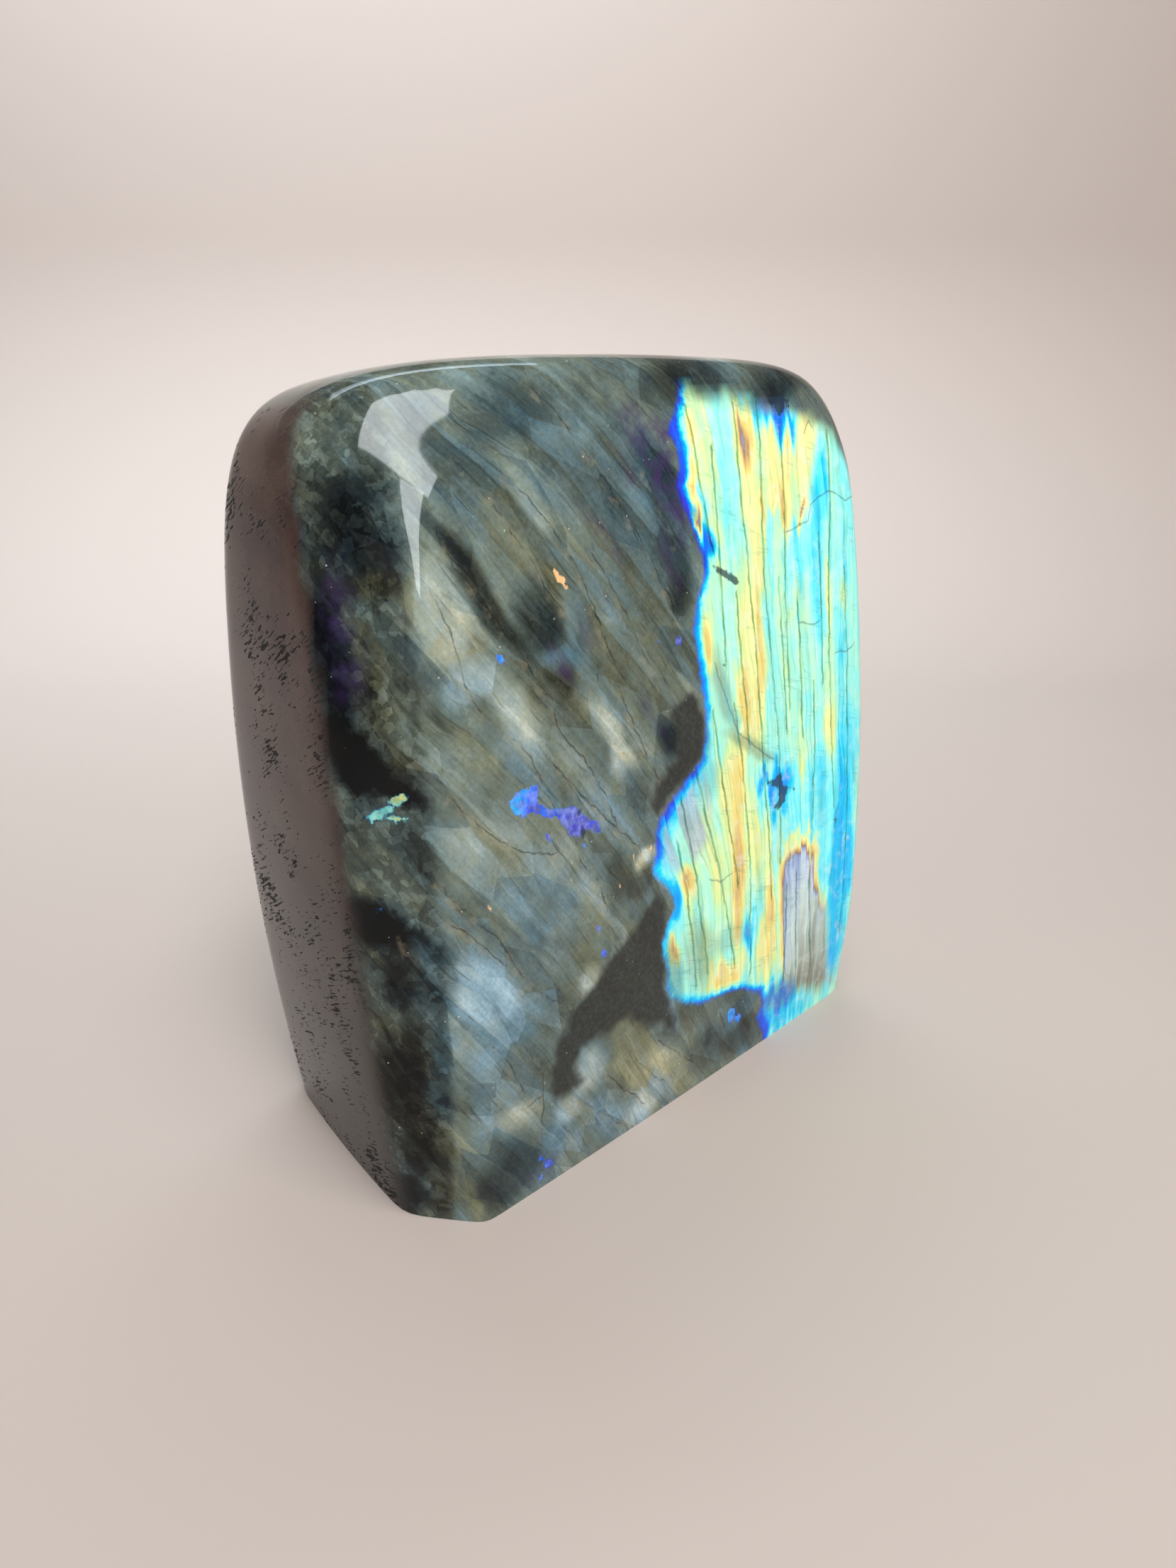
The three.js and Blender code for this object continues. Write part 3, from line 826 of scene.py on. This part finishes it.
def add_node(tree, kind, inputs, **settings):
    """A node with its settings made, and each input given a wire or a value of its own."""
    node = tree.nodes.new(kind)
    for name, value in settings.items():
        setattr(node, name, value)
    for key, value in inputs.items():
        if isinstance(value, Wire):
            tree.links.new(value.socket, node.inputs[key])
        else:
            node.inputs[key].default_value = value
    return node


class Wire:
    """An output of a shader node. Sums and the like with it add the nodes that work them out."""

    def __init__(self, tree, socket):
        self.tree = tree
        self.socket = socket

    def into(self, kind, inputs, output=0, **settings):
        """The output of a new node that takes this wire among its inputs."""
        return Wire(self.tree, add_node(self.tree, kind, inputs, **settings).outputs[output])

    def math(self, operation, a, b=0.0, clamp=False):
        return self.into("ShaderNodeMath", {0: a, 1: b}, operation=operation, use_clamp=clamp)

    def __add__(self, other):
        return self.math("ADD", self, other)

    def __radd__(self, other):
        return self.math("ADD", other, self)

    def __sub__(self, other):
        return self.math("SUBTRACT", self, other)

    def __rsub__(self, other):
        return self.math("SUBTRACT", other, self)

    def __mul__(self, other):
        return self.math("MULTIPLY", self, other)

    def __truediv__(self, other):
        return self.math("DIVIDE", self, other)

    def __abs__(self):
        return self.math("ABSOLUTE", self)

    def held(self):
        """Held between 0 and 1."""
        return self.math("ADD", self, clamp=True)

    def step(self, low, high, start=0.0, end=1.0):
        """A smooth step from start at low to end at high."""
        inputs = {"Value": self, "From Min": low, "From Max": high, "To Min": start, "To Max": end}
        return self.into("ShaderNodeMapRange", inputs, "Result", interpolation_type="SMOOTHSTEP")

    def blend(self, a, b):
        """a where this share is 0 and b where it is 1."""
        return self.into("ShaderNodeMix", {"Factor": self, 2: a, 3: b}, data_type="FLOAT")

    def paint(self, under, over, how="MIX"):
        """One colour laid over another by this share."""
        inputs = {"Factor": self, 6: under, 7: over}
        return self.into("ShaderNodeMix", inputs, 2, data_type="RGBA", blend_type=how)

    def lit(self, light):
        """This colour times an amount of light."""
        inputs = {"Factor": 1.0, 6: self, 7: light}
        return self.into("ShaderNodeMix", inputs, 2, data_type="RGBA", blend_type="MULTIPLY")

    def stretch(self, scale):
        return self.into("ShaderNodeVectorMath", {0: self, 1: scale}, operation="MULTIPLY")

    def beside(self, other):
        """A place with this wire as its x and the other as its y."""
        return self.into("ShaderNodeCombineXYZ", {"X": self, "Y": other})

    def axes(self):
        node = add_node(self.tree, "ShaderNodeSeparateXYZ", {0: self})
        return [Wire(self.tree, socket) for socket in node.outputs]

    def noise(self, name):
        """A noise of the list below, centred on 0 and reaching about its height both ways."""
        scale, detail, roughness, height = TEXTURES[name]
        inputs = {"Vector": self, "Scale": scale, "Detail": detail, "Roughness": roughness}
        fac = self.into("ShaderNodeTexNoise", inputs, "Fac")
        return (fac - 0.5) * (NOISE_REACH * height)

    def cells(self, scale, **settings):
        """Two random values of the cell this place is in, and the distance to the cell's point."""
        inputs = {"Vector": self, "Scale": scale}
        cell = add_node(self.tree, "ShaderNodeTexVoronoi", inputs, **settings).outputs
        parts = {0: Wire(self.tree, cell["Color"])}
        first, second, _ = add_node(self.tree, "ShaderNodeSeparateColor", parts).outputs
        return [Wire(self.tree, socket) for socket in (first, second, cell["Distance"])]

    def flecks(self, scale, radius, share_shown):
        """1 inside small round specks, which only some of the cells hold."""
        choice, size, distance = self.cells(scale)
        near = self.math("LESS_THAN", distance, size * radius)
        return near * self.math("LESS_THAN", choice, share_shown)

    def ramp(self, marks, span=1.0):
        """A colour read off a list of (place, colour) for this place, which runs from 0 to span."""
        node = add_node(self.tree, "ShaderNodeValToRGB", {"Fac": (self / span).held()})
        stops = node.color_ramp.elements
        while len(stops) < len(marks):
            stops.new(0.5)
        for stop, (place, rgb) in zip(stops, marks):
            stop.position = place / span
            stop.color = linear(*rgb)
        return Wire(self.tree, node.outputs["Color"])

    def curve(self, places, values):
        """A value read off a line through points for this place, which runs from 0 to the last."""
        inputs = {"Value": (self / places[-1]).held()}
        node = add_node(self.tree, "ShaderNodeFloatCurve", inputs)
        points = node.mapping.curves[0].points
        while len(points) < len(places):
            points.new(0.5, 0.5)
        for point, place, value in zip(points, places, values):
            point.location = (place / places[-1], value)
            point.handle_type = "VECTOR"
        node.mapping.update()
        return Wire(self.tree, node.outputs["Value"])


def most(first, *others):
    """The greatest of some wires."""
    for other in others:
        first = first.math("MAXIMUM", first, other)
    return first


# Colours, the lists by place: along the film order, and by tone from dark to light
ORDER_SPAN = 1.25
FILM_COLOURS = [
    (0, (68, 62, 185)), (0.05, (44, 64, 212)), (0.1, (25, 92, 238)), (0.17, (0, 150, 255)),
    (0.26, (0, 208, 252)), (0.34, (120, 238, 245)), (0.43, (170, 244, 220)),
    (0.52, (200, 240, 180)), (0.6, (224, 240, 160)), (0.68, (240, 234, 158)),
    (0.76, (240, 214, 122)), (0.85, (214, 174, 116)), (0.92, (150, 120, 104)),
    (0.98, (146, 164, 208)), (1.03, (188, 204, 226)), (1.1, (198, 214, 208)),
    (1.18, (158, 160, 145)), (1.25, (126, 120, 104)),
]
WARM_BODY = [
    (0, (9, 10, 7)), (0.2, (36, 36, 27)), (0.4, (74, 74, 56)), (0.6, (110, 112, 88)),
    (0.8, (150, 148, 118)), (1, (206, 198, 166)),
]
COOL_BODY = [
    (0, (4, 8, 12)), (0.2, (22, 35, 41)), (0.4, (52, 72, 78)), (0.6, (86, 112, 122)),
    (0.8, (128, 156, 170)), (1, (188, 210, 218)),
]
VIOLET_STAIN = linear(60, 42, 84)
CHARCOAL_COLOUR = linear(35, 36, 34)
CHARCOAL_LIGHT = linear(64, 64, 61)
CRACK_COLOUR = linear(22, 20, 17)
CRACK_EDGE_COLOUR = linear(150, 138, 112)
LINE_SHADE = linear(105, 152, 116)
RIM_SHADE = linear(205, 180, 220)
CREAM = linear(236, 186, 130)
PALE_FLECK = linear(205, 200, 180)
LOBE_GREY = linear(160, 176, 204)
PALE_VIOLET = linear(150, 165, 238)
MILKY = linear(232, 246, 236)
WRINKLE_COLOUR = linear(40, 120, 110)
INCLUSION_COLOUR = linear(30, 44, 62)
FLAW_COLOUR = linear(60, 84, 92)
LEFT_COLOUR = linear(54, 32, 29)
LEFT_LIGHT = linear(86, 62, 56)
# Painted shade: the near-black colour the left side darkens to towards its foot
LEFT_FOOT_PAINTED_SHADE = linear(14, 3, 2)
LEFT_PIT_COLOUR = linear(14, 9, 10)
SAWN_COLOUR = linear(88, 88, 84)

# Noise of the looks: (lumps to a millimetre, detail, roughness, height)
TEXTURES = {
    "wrinkles": (0.42, 3, 0.6, 1), "wrinkles_shown": (0.23, 2, 0.5, 1),
    "film_cloud": (0.22, 3, 0.55, 1), "layer_bend": (0.12, 2, 0.5, 0.7),
    "pale_violet": (0.8, 3, 0.5, 1), "milk": (0.34, 5, 0.65, 1), "flash_splits": (0.3, 3, 0.5, 1),
    "flash_edge": (0.8, 4, 0.65, 0.55), "patch_edge": (1.1, 4, 0.7, 0.5),
    "patch_cloud": (0.7, 4, 0.65, 1), "flash_line_bend": (0.5, 2, 0.5, 0.25),
    "flash_lines_shown": (0.25, 2, 0.5, 1), "grain_bend": (0.1, 2, 0.5, 0.7),
    "hairs": (1.6, 4, 0.65, 0.05), "body_cloud": (0.16, 5, 0.6, 0.1),
    "tint_cloud": (0.3, 3, 0.5, 0.2), "body_splits": (0.2, 3, 0.5, 1),
    "crack_bend": (0.6, 2, 0.5, 0.35), "crack_edges": (0.5, 3, 0.5, 1),
    "cracks_shown": (0.35, 3, 0.5, 1), "grit": (1.6, 5, 0.7, 1),
    "charcoal_edge": (0.45, 3, 0.5, 0.7), "violet_stain": (0.35, 4, 0.65, 1),
    "cream_edge": (1.4, 3, 0.5, 0.25), "dashes": (0.9, 4, 0.6, 1), "crumbs": (1.5, 4, 0.7, 1),
    "pit_clusters": (0.09, 3, 0.6, 1), "left_cloud": (0.1, 4, 0.5, 1),
    "inclusion_edge": (1.2, 3, 0.5, 0.35), "flaw_bend": (0.7, 2, 0.5, 0.2),
}
# Long thin cells of the flash and of the body: (width, stretch along)
FLASH_LAYERS = (2.3, 0.045)
FINE_FLASH_LAYERS = (0.75, 0.06)
BODY_BANDS = (2.6, 0.05)
FINE_BODY_BANDS = (0.9, 0.07)
# Drawn lines: (half width, softness of the edge)
FLASH_LINE = (0.07, 0.32)
FLAW_LINE = (0.04, 0.22)
CRACK = (0.03, 0.2)
BESIDE_CRACK = (0.35, 0.7)
BESIDE_CRACK_AWAY = 0.45
# How strongly each look shows
MILK_SHARE = 0.5
WRINKLE_SHARE = 0.26
CRACK_SHARE = 0.6
CRACK_EDGE_SHARE = 0.3
FLAW_SHARE = 0.5
CHARCOAL_SHARE = 0.94
INCLUSION_SHARE = 0.85
CREAM_SHARE = 0.85
PALE_FLECK_SHARE = 0.45
LEFT_SHARE = 0.85
PIT_SHARE = 0.95
FLASH_SHARE = 0.98
# The surface: roughness of the polish, the pits and the sawn base, and how deep the pits are
GLASSY = 0.05
PIT_ROUGH = 0.7
SAWN_ROUGH = 0.55
IOR = 1.56
SPECULAR = 0.18
PIT_STRENGTH = 0.5
PIT_DEPTH = 0.3 * MM


def line_mark(marks, name, groups, line, wobble):
    """1 on the lines of the numbered groups of a family, 0 away from them."""
    half_width, softness = line
    drawn = []
    for n in groups:
        across = abs(marks[f"{name}_{n}"] + wobble)
        thin = 1.0 - across.step(half_width, half_width + softness)
        drawn.append(thin * marks[f"{name}_near_{n}"])
    return most(*drawn)


def layer_cells(across, along, layers):
    """Long thin cells: two random values of each, centred on 0, and the distance to its edge."""
    width, stretch = layers
    place = across.beside(along * stretch)
    inputs = {"Vector": place, "Scale": 1 / width}
    flat = {"voronoi_dimensions": "2D"}
    edge = place.into("ShaderNodeTexVoronoi", inputs, "Distance", feature="DISTANCE_TO_EDGE", **flat)
    first, second, _ = place.cells(1 / width, **flat)
    return first - 0.5, second - 0.5, edge * width


def wrinkles(where):
    """Fine wavy lines crossing the layers and sloping down to the right."""
    x, _, z = where.axes()
    waves = (x * 0.1).beside(z + x * 0.3).noise("wrinkles")
    return (1.0 - abs(waves).step(0.0, 0.1)) * where.noise("wrinkles_shown").step(0.0, 0.5)


def film_order(marks, depth, layer_tone, fine_tone):
    """Place along the film colours, from the blue rim inwards."""
    cloud = marks["where"].noise("film_cloud")
    spread = layer_tone * 0.12 + fine_tone * 0.06 + cloud * 0.05
    spread = spread * marks["film_order"].step(0.15, 0.5, 0.35, 1.0)
    rim_depth = depth + cloud * 0.5
    past_rim = (rim_depth - marks["rim"]).step(0.0, 2.2)
    order = past_rim.blend(marks["rim_order"] + cloud * 0.06, marks["film_order"] + spread)
    lobe_order = (rim_depth + layer_tone * 1.6).curve(LOBE_DEPTHS, LOBE_ORDERS)
    return marks["lobe"].blend(order, lobe_order + layer_tone * 0.1)


def film_colour(order):
    """Colour of the flash by its film order."""
    return order.ramp(FILM_COLOURS, ORDER_SPAN)


def with_tooth(marks, order, layer_tone, fine_tone):
    """Film colour with the tooth in it: brown where its edge is seen, melting away at its foot."""
    inside = (marks["tooth_depth"] + layer_tone * 1.4 + fine_tone * 0.5).step(-2.0, 2.4)
    tooth_order = marks["tooth_order"] + layer_tone * 0.1 + fine_tone * 0.05
    edged = film_colour(inside.blend(order, tooth_order))
    melted = inside.paint(film_colour(order), film_colour(tooth_order))
    return marks["tooth_edge"].paint(melted, edged)


def layered_flash(marks, depth, in_patch, patch_cloud):
    """The flash in its film colours, with milky places and with light, dark and split layers."""
    where = marks["where"]
    across = marks["layers"] + where.noise("layer_bend")
    layer_tone, layer_light, layer_edge = layer_cells(across, marks["height"], FLASH_LAYERS)
    fine_tone, fine_light, fine_edge = layer_cells(across, marks["height"], FINE_FLASH_LAYERS)
    order = film_order(marks, depth, layer_tone, fine_tone)
    order = in_patch.blend(order, marks["patch_order"] + patch_cloud * 0.09)
    colour = with_tooth(marks, order, layer_tone, fine_tone)
    is_blue = marks["patch_order"].step(0.26, 0.16)
    pale = in_patch * is_blue * where.noise("pale_violet").step(-0.4, 0.8) * 0.6
    colour = pale.paint(colour, PALE_VIOLET)
    grey = marks["lobe"] * layer_tone.step(-0.35, 0.1) * depth.step(1.2, 2.6)
    colour = (grey * 0.8).paint(colour, LOBE_GREY)
    milk = where.noise("milk").step(-0.1, 1.0)
    colour = (milk * MILK_SHARE * depth.step(1.5, 4.0)).paint(colour, MILKY)
    colour = colour.lit(1.0 + layer_light * 0.16 + fine_light * 0.12)
    broad_splits = (1.0 - layer_edge.step(0.02, 0.3)) * 0.3
    splits = most(broad_splits, (1.0 - fine_edge.step(0.0, 0.1)) * 0.1)
    shown = where.noise("flash_splits").step(-0.5, 0.5, 0.25, 1.0)
    return (splits * shown).paint(colour, LINE_SHADE, "MULTIPLY")


def flash_colour(marks):
    """Colour of the flash, and how much of it covers the body."""
    where = marks["where"]
    depth = marks["flash_depth"] + where.noise("flash_edge")
    in_patch = (marks["patch_depth"] + where.noise("patch_edge")).step(0.0, 0.3)
    patch_cloud = where.noise("patch_cloud")
    colour = layered_flash(marks, depth, in_patch, patch_cloud)
    colour = (wrinkles(where) * WRINKLE_SHARE).paint(colour, WRINKLE_COLOUR)
    lines = line_mark(marks, "flash_line", (0, 1), FLASH_LINE, where.noise("flash_line_bend"))
    line_share = where.noise("flash_lines_shown").step(-1.0, 0.6, 0.35, 0.85)
    colour = (lines * line_share).paint(colour, LINE_SHADE, "MULTIPLY")
    rim = (1.0 - depth.step(0.0, 1.1)) * (1.0 - in_patch) * marks["rim_order"].step(0.16, 0.08)
    colour = rim.paint(colour, RIM_SHADE, "MULTIPLY")
    cover = depth.step(-0.4, 0.8) * (1.0 - marks["veil"]) * marks["flash_side"] * FLASH_SHARE
    patch_cover = in_patch * patch_cloud.step(-1.0, 0.3, 0.3, 0.9) * (1.0 - marks["facet"] * 0.4)
    return colour, most(cover, patch_cover * marks["seen"])


def facet_chips(where):
    """Angular pale and dark crystal chips, as change of tone."""
    inputs = {"Vector": where, "Scale": 0.7, "Detail": 3.0}
    push = where.into("ShaderNodeTexNoise", inputs, "Color").stretch((2.0, 2.0, 2.0))
    shifted = where.into("ShaderNodeVectorMath", {0: where, 1: push}, operation="ADD")
    value, _, _ = shifted.cells(0.8)
    return (value * value - 0.33) * 0.16


def grained_body(marks, grit):
    """The body's slanting bands, crystals and clouds, with its splits."""
    where = marks["where"]
    across, depth, along = marks["grain"].axes()
    across = across + depth * 0.4 + where.noise("grain_bend")
    band_tone, band_tint, band_edge = layer_cells(across, along, BODY_BANDS)
    fine_tone, fine_tint, fine_edge = layer_cells(across, along, FINE_BODY_BANDS)
    chip_tone, chip_tint, _ = marks["grain"].stretch((1.0, 0.8, 0.45)).cells(0.2)
    hairs = marks["grain"].stretch((1.0, 0.6, 0.05)).noise("hairs")
    tone = marks["tone"] + band_tone * 0.13 + fine_tone * 0.06 + hairs
    tone = tone + where.noise("body_cloud") + grit * 0.08
    tone = tone + (chip_tone - 0.5) * 0.13 + marks["facet"] * facet_chips(where)
    tint = marks["tint"] + band_tint * 0.3 + fine_tint * 0.12
    tint = tint + where.noise("tint_cloud") + (chip_tint - 0.5) * 0.3
    colour = tint.held().paint(tone.ramp(WARM_BODY), tone.ramp(COOL_BODY))
    broad_splits = (1.0 - band_edge.step(0.02, 0.22)) * 0.5
    splits = most(broad_splits, (1.0 - fine_edge.step(0.0, 0.07)) * 0.32)
    return (splits * where.noise("body_splits").step(-0.3, 0.7)).paint(colour, CRACK_COLOUR)


def with_cracks(marks, colour):
    """The body's cracks, each with a pale line beside it in places."""
    where = marks["where"]
    bend = where.noise("crack_bend")
    groups = range(len(BODY_LINES))
    cracks = line_mark(marks, "body_line", groups, CRACK, bend)
    beside = line_mark(marks, "body_line", groups, BESIDE_CRACK, bend + BESIDE_CRACK_AWAY)
    patchy = where.noise("crack_edges").step(-0.2, 0.7) * CRACK_EDGE_SHARE
    colour = (beside * patchy * marks["seen"]).paint(colour, CRACK_EDGE_COLOUR)
    broken = where.noise("cracks_shown").step(-0.6, 0.3) * CRACK_SHARE
    return (cracks * broken * marks["seen"]).paint(colour, CRACK_COLOUR)


def body_colour(marks):
    """Colour of the dark part: grain, charcoal areas, cracks, stains and flecks."""
    where, seen = marks["where"], marks["seen"]
    grit = where.noise("grit")
    colour = grained_body(marks, grit)
    frayed = grit * 0.5 + where.noise("charcoal_edge")
    smooth_dark = (marks["charcoal"] + frayed).step(-1.2, 1.0) * CHARCOAL_SHARE
    dark = grit.step(-0.6, 1.2).paint(CHARCOAL_COLOUR, CHARCOAL_LIGHT)
    colour = (smooth_dark * seen).paint(colour, dark)
    colour = with_cracks(marks, colour)
    stain = marks["violet"] * where.noise("violet_stain").step(-0.6, 0.5)
    colour = (stain * seen).paint(colour, VIOLET_STAIN)
    pale = where.flecks(0.7, 0.11, 0.2) * PALE_FLECK_SHARE
    colour = (pale * seen).paint(colour, PALE_FLECK)
    cream = (marks["cream"] + where.noise("cream_edge")).step(-0.1, 0.15) * CREAM_SHARE
    return (cream * seen).paint(colour, CREAM)


def left_side_colour(marks):
    """Colour of the left side, with painted shade towards its foot, and its small dark pits."""
    where, slant = marks["where"], marks["slant"]
    dashes = slant.stretch((0.4, 2.8, 0.5)).noise("dashes")
    crumbs = slant.stretch((0.6, 1.0, 0.6)).noise("crumbs")
    cluster = where.noise("pit_clusters").step(-0.6, 0.7, -0.22, 0.36)
    pits = (dashes * 0.75 + crumbs * 0.4 + cluster).step(0.3, 0.42)
    lighter = (where.noise("left_cloud") + dashes * 0.3).step(-0.8, 1.0)
    colour = lighter.paint(LEFT_COLOUR, LEFT_LIGHT)
    # Painted shade: darker towards the foot, fully below a height of 10 and fading out by 85
    colour = marks["height"].step(10.0, 85.0).paint(LEFT_FOOT_PAINTED_SHADE, colour)
    return (pits * PIT_SHARE).paint(colour, LEFT_PIT_COLOUR), pits


def with_flaws(marks, colour):
    """The dark inclusions and the crossing cracks in the flash."""
    where, seen = marks["where"], marks["seen"]
    speck = (marks["inclusion"] + where.noise("inclusion_edge")).step(-0.1, 0.3)
    colour = (speck * INCLUSION_SHARE * seen).paint(colour, INCLUSION_COLOUR)
    flaws = line_mark(marks, "flash_line", (2,), FLAW_LINE, where.noise("flaw_bend"))
    return (flaws * FLAW_SHARE * seen).paint(colour, FLAW_COLOUR)


def stone_material(fields, places):
    """Polished stone: body, left side, flash and flaws over one another, and the pits as dents."""
    material = bpy.data.materials.new("polished_labradorite")
    material.use_nodes = True
    tree = material.node_tree
    marks = {}
    for names, output in ((fields, "Fac"), (places, "Vector")):
        for name in names:
            node = add_node(tree, "ShaderNodeAttribute", {}, attribute_name=name)
            marks[name] = Wire(tree, node.outputs[output])
    left, pits = left_side_colour(marks)
    flash, cover = flash_colour(marks)
    colour = (marks["left_side"] * LEFT_SHARE).paint(body_colour(marks), left)
    colour = with_flaws(marks, cover.paint(colour, flash))
    colour = marks["sawn"].paint(colour, SAWN_COLOUR)
    pits = marks["left_side"] * pits
    rough = GLASSY + pits * PIT_ROUGH + marks["sawn"] * SAWN_ROUGH
    inputs = {"Strength": PIT_STRENGTH, "Distance": PIT_DEPTH, "Height": 1.0 - pits}
    dent = pits.into("ShaderNodeBump", inputs)
    surface = tree.nodes["Principled BSDF"]
    for name, wire in (("Base Color", colour), ("Roughness", rough), ("Normal", dent)):
        tree.links.new(wire.socket, surface.inputs[name])
    surface.inputs["IOR"].default_value = IOR
    surface.inputs["Specular IOR Level"].default_value = SPECULAR
    return material


def make_stone():
    points, quads, normals, underside = stone_shape()
    stone = stone_object(points, quads)
    fields, laid = stone_fields(points, normals, underside)
    grain = grain_places(points, laid[:, 0], fields["seen"])
    places = {"where": points, "grain": grain, "slant": pit_places(points)}
    put_fields(stone.data, fields, places)
    stone.data.materials.append(stone_material(fields, places))
    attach(stone, "root")
    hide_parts("labradorite_stone")


# Camera: where the photo was taken from, found from the stone's outline and edges
CAMERA = {"place": (-135.94, -134.3, 120.9), "yaw": 46.03, "pitch": 20.34}
PHOTO_SIZE = (1659, 2212)
PHOTO_FOCAL_PIXELS = 1662
SENSOR = 36
CAMERA_SEES_FROM = 10

# Backdrop: a pale floor that curves up into a wall behind the stone
WALL_AWAY = 600
SWEEP_RADIUS = 170
WALL_TOP = 330
FLOOR_NEAR = -1800
BACKDROP_HALF_WIDTH = 2400
BACKDROP_COLOUR = linear(178, 163, 154)
BACKDROP_ROUGH = 0.85
SWEEP_STEPS = 24

# Lights, each at an azimuth and elevation round the stone: a window whose mirror image lies on
# the ridge, the skylight that widens it upward, a large soft room light and a wash on the wall
DAYLIGHT = (0.92, 0.97, 1.0)
LIGHTS = {
    "window": {
        "place": (-146, 40.5), "distance": 700, "size": (150, 690), "power": 6.0,
        "colour": DAYLIGHT, "turn": -17,
    },
    "skylight": {
        "place": (-155.5, 70.9), "distance": 705, "size": (370, 86), "power": 1.8,
        "colour": DAYLIGHT, "turn": -31,
    },
    "room": {
        "place": (-150, 10), "distance": 1700, "size": (3000, 1200), "power": 7,
        "colour": (1.0, 0.97, 0.94),
    },
    "wall_wash": {
        "place": (28, 62), "distance": 620, "size": (500, 160), "power": 2.2,
        "colour": (0.75, 0.89, 1.0), "aim": (200, 360, 110), "spread": 110,
    },
}
STONE_MIDDLE = (0, 0, HEIGHT / 2)
WORLD_COLOUR = linear(235, 230, 226)
WORLD_STRENGTH = 0.25


def make_camera():
    data = bpy.data.cameras.new("photo_camera")
    data.sensor_width = SENSOR
    data.sensor_fit = "AUTO"
    data.lens = SENSOR * PHOTO_FOCAL_PIXELS / PHOTO_SIZE[1]
    data.clip_start = CAMERA_SEES_FROM * MM
    camera = add_object("photo_camera", data)
    camera.location = Vector(CAMERA["place"]) * MM
    tilt = math.radians(90 - CAMERA["pitch"])
    camera.rotation_euler = (tilt, 0, -math.radians(CAMERA["yaw"]))
    bpy.context.scene.camera = camera


def backdrop_profile():
    """The backdrop seen from the side: (away from the camera, height)."""
    profile = [(FLOOR_NEAR, 0)]
    for step in range(SWEEP_STEPS + 1):
        turn = math.pi / 2 * step / SWEEP_STEPS
        away = WALL_AWAY - SWEEP_RADIUS + SWEEP_RADIUS * math.sin(turn)
        profile.append((away, SWEEP_RADIUS * (1 - math.cos(turn))))
    return [*profile, (WALL_AWAY, WALL_TOP)]


def backdrop_mesh():
    yaw = math.radians(CAMERA["yaw"])
    ahead = Vector((math.sin(yaw), math.cos(yaw), 0))
    aside = Vector((math.cos(yaw), -math.sin(yaw), 0))
    foot = Vector((CAMERA["place"][0], CAMERA["place"][1], 0))
    profile = backdrop_profile()
    corners = []
    for away, height in profile:
        for side in (-BACKDROP_HALF_WIDTH, BACKDROP_HALF_WIDTH):
            corners.append((foot + ahead * away + aside * side + Vector((0, 0, height))) * MM)
    strips = [(2 * n, 2 * n + 1, 2 * n + 3, 2 * n + 2) for n in range(len(profile) - 1)]
    mesh = bpy.data.meshes.new("backdrop")
    mesh.from_pydata(corners, [], strips)
    mesh.shade_smooth()
    return mesh


def make_backdrop():
    material = bpy.data.materials.new("backdrop")
    material.use_nodes = True
    surface = material.node_tree.nodes["Principled BSDF"]
    surface.inputs["Base Color"].default_value = BACKDROP_COLOUR
    surface.inputs["Roughness"].default_value = BACKDROP_ROUGH
    mesh = backdrop_mesh()
    mesh.materials.append(material)
    backdrop = add_object("backdrop", mesh)


def make_light(name, place, distance, size, power, colour, turn=0, aim=STONE_MIDDLE, spread=180):
    """An area light aimed at a point, and turned about its own axis."""
    data = bpy.data.lights.new(name, "AREA")
    data.shape = "RECTANGLE"
    data.size = size[0] * MM
    data.size_y = size[1] * MM
    data.energy = power
    data.color = colour
    data.spread = math.radians(spread)
    light = add_object(name, data)
    azimuth, elevation = (math.radians(angle) for angle in place)
    level = math.cos(elevation)
    way = Vector((math.sin(azimuth) * level, math.cos(azimuth) * level, math.sin(elevation)))
    light.location = (Vector(STONE_MIDDLE) + way * distance) * MM
    toward = Vector(aim) * MM - light.location
    rolled = toward.to_track_quat("-Z", "Y") @ Quaternion((0, 0, 1), math.radians(turn))
    light.rotation_euler = rolled.to_euler()


def make_world():
    world = bpy.data.worlds.new("studio")
    world.use_nodes = True
    sky = world.node_tree.nodes["Background"]
    sky.inputs["Color"].default_value = WORLD_COLOUR
    sky.inputs["Strength"].default_value = WORLD_STRENGTH
    bpy.context.scene.world = world


make_stone()
make_camera()
make_backdrop()
make_world()
for name, light in LIGHTS.items():
    make_light(name, **light)
bpy.context.scene.view_settings.view_transform = "Standard"
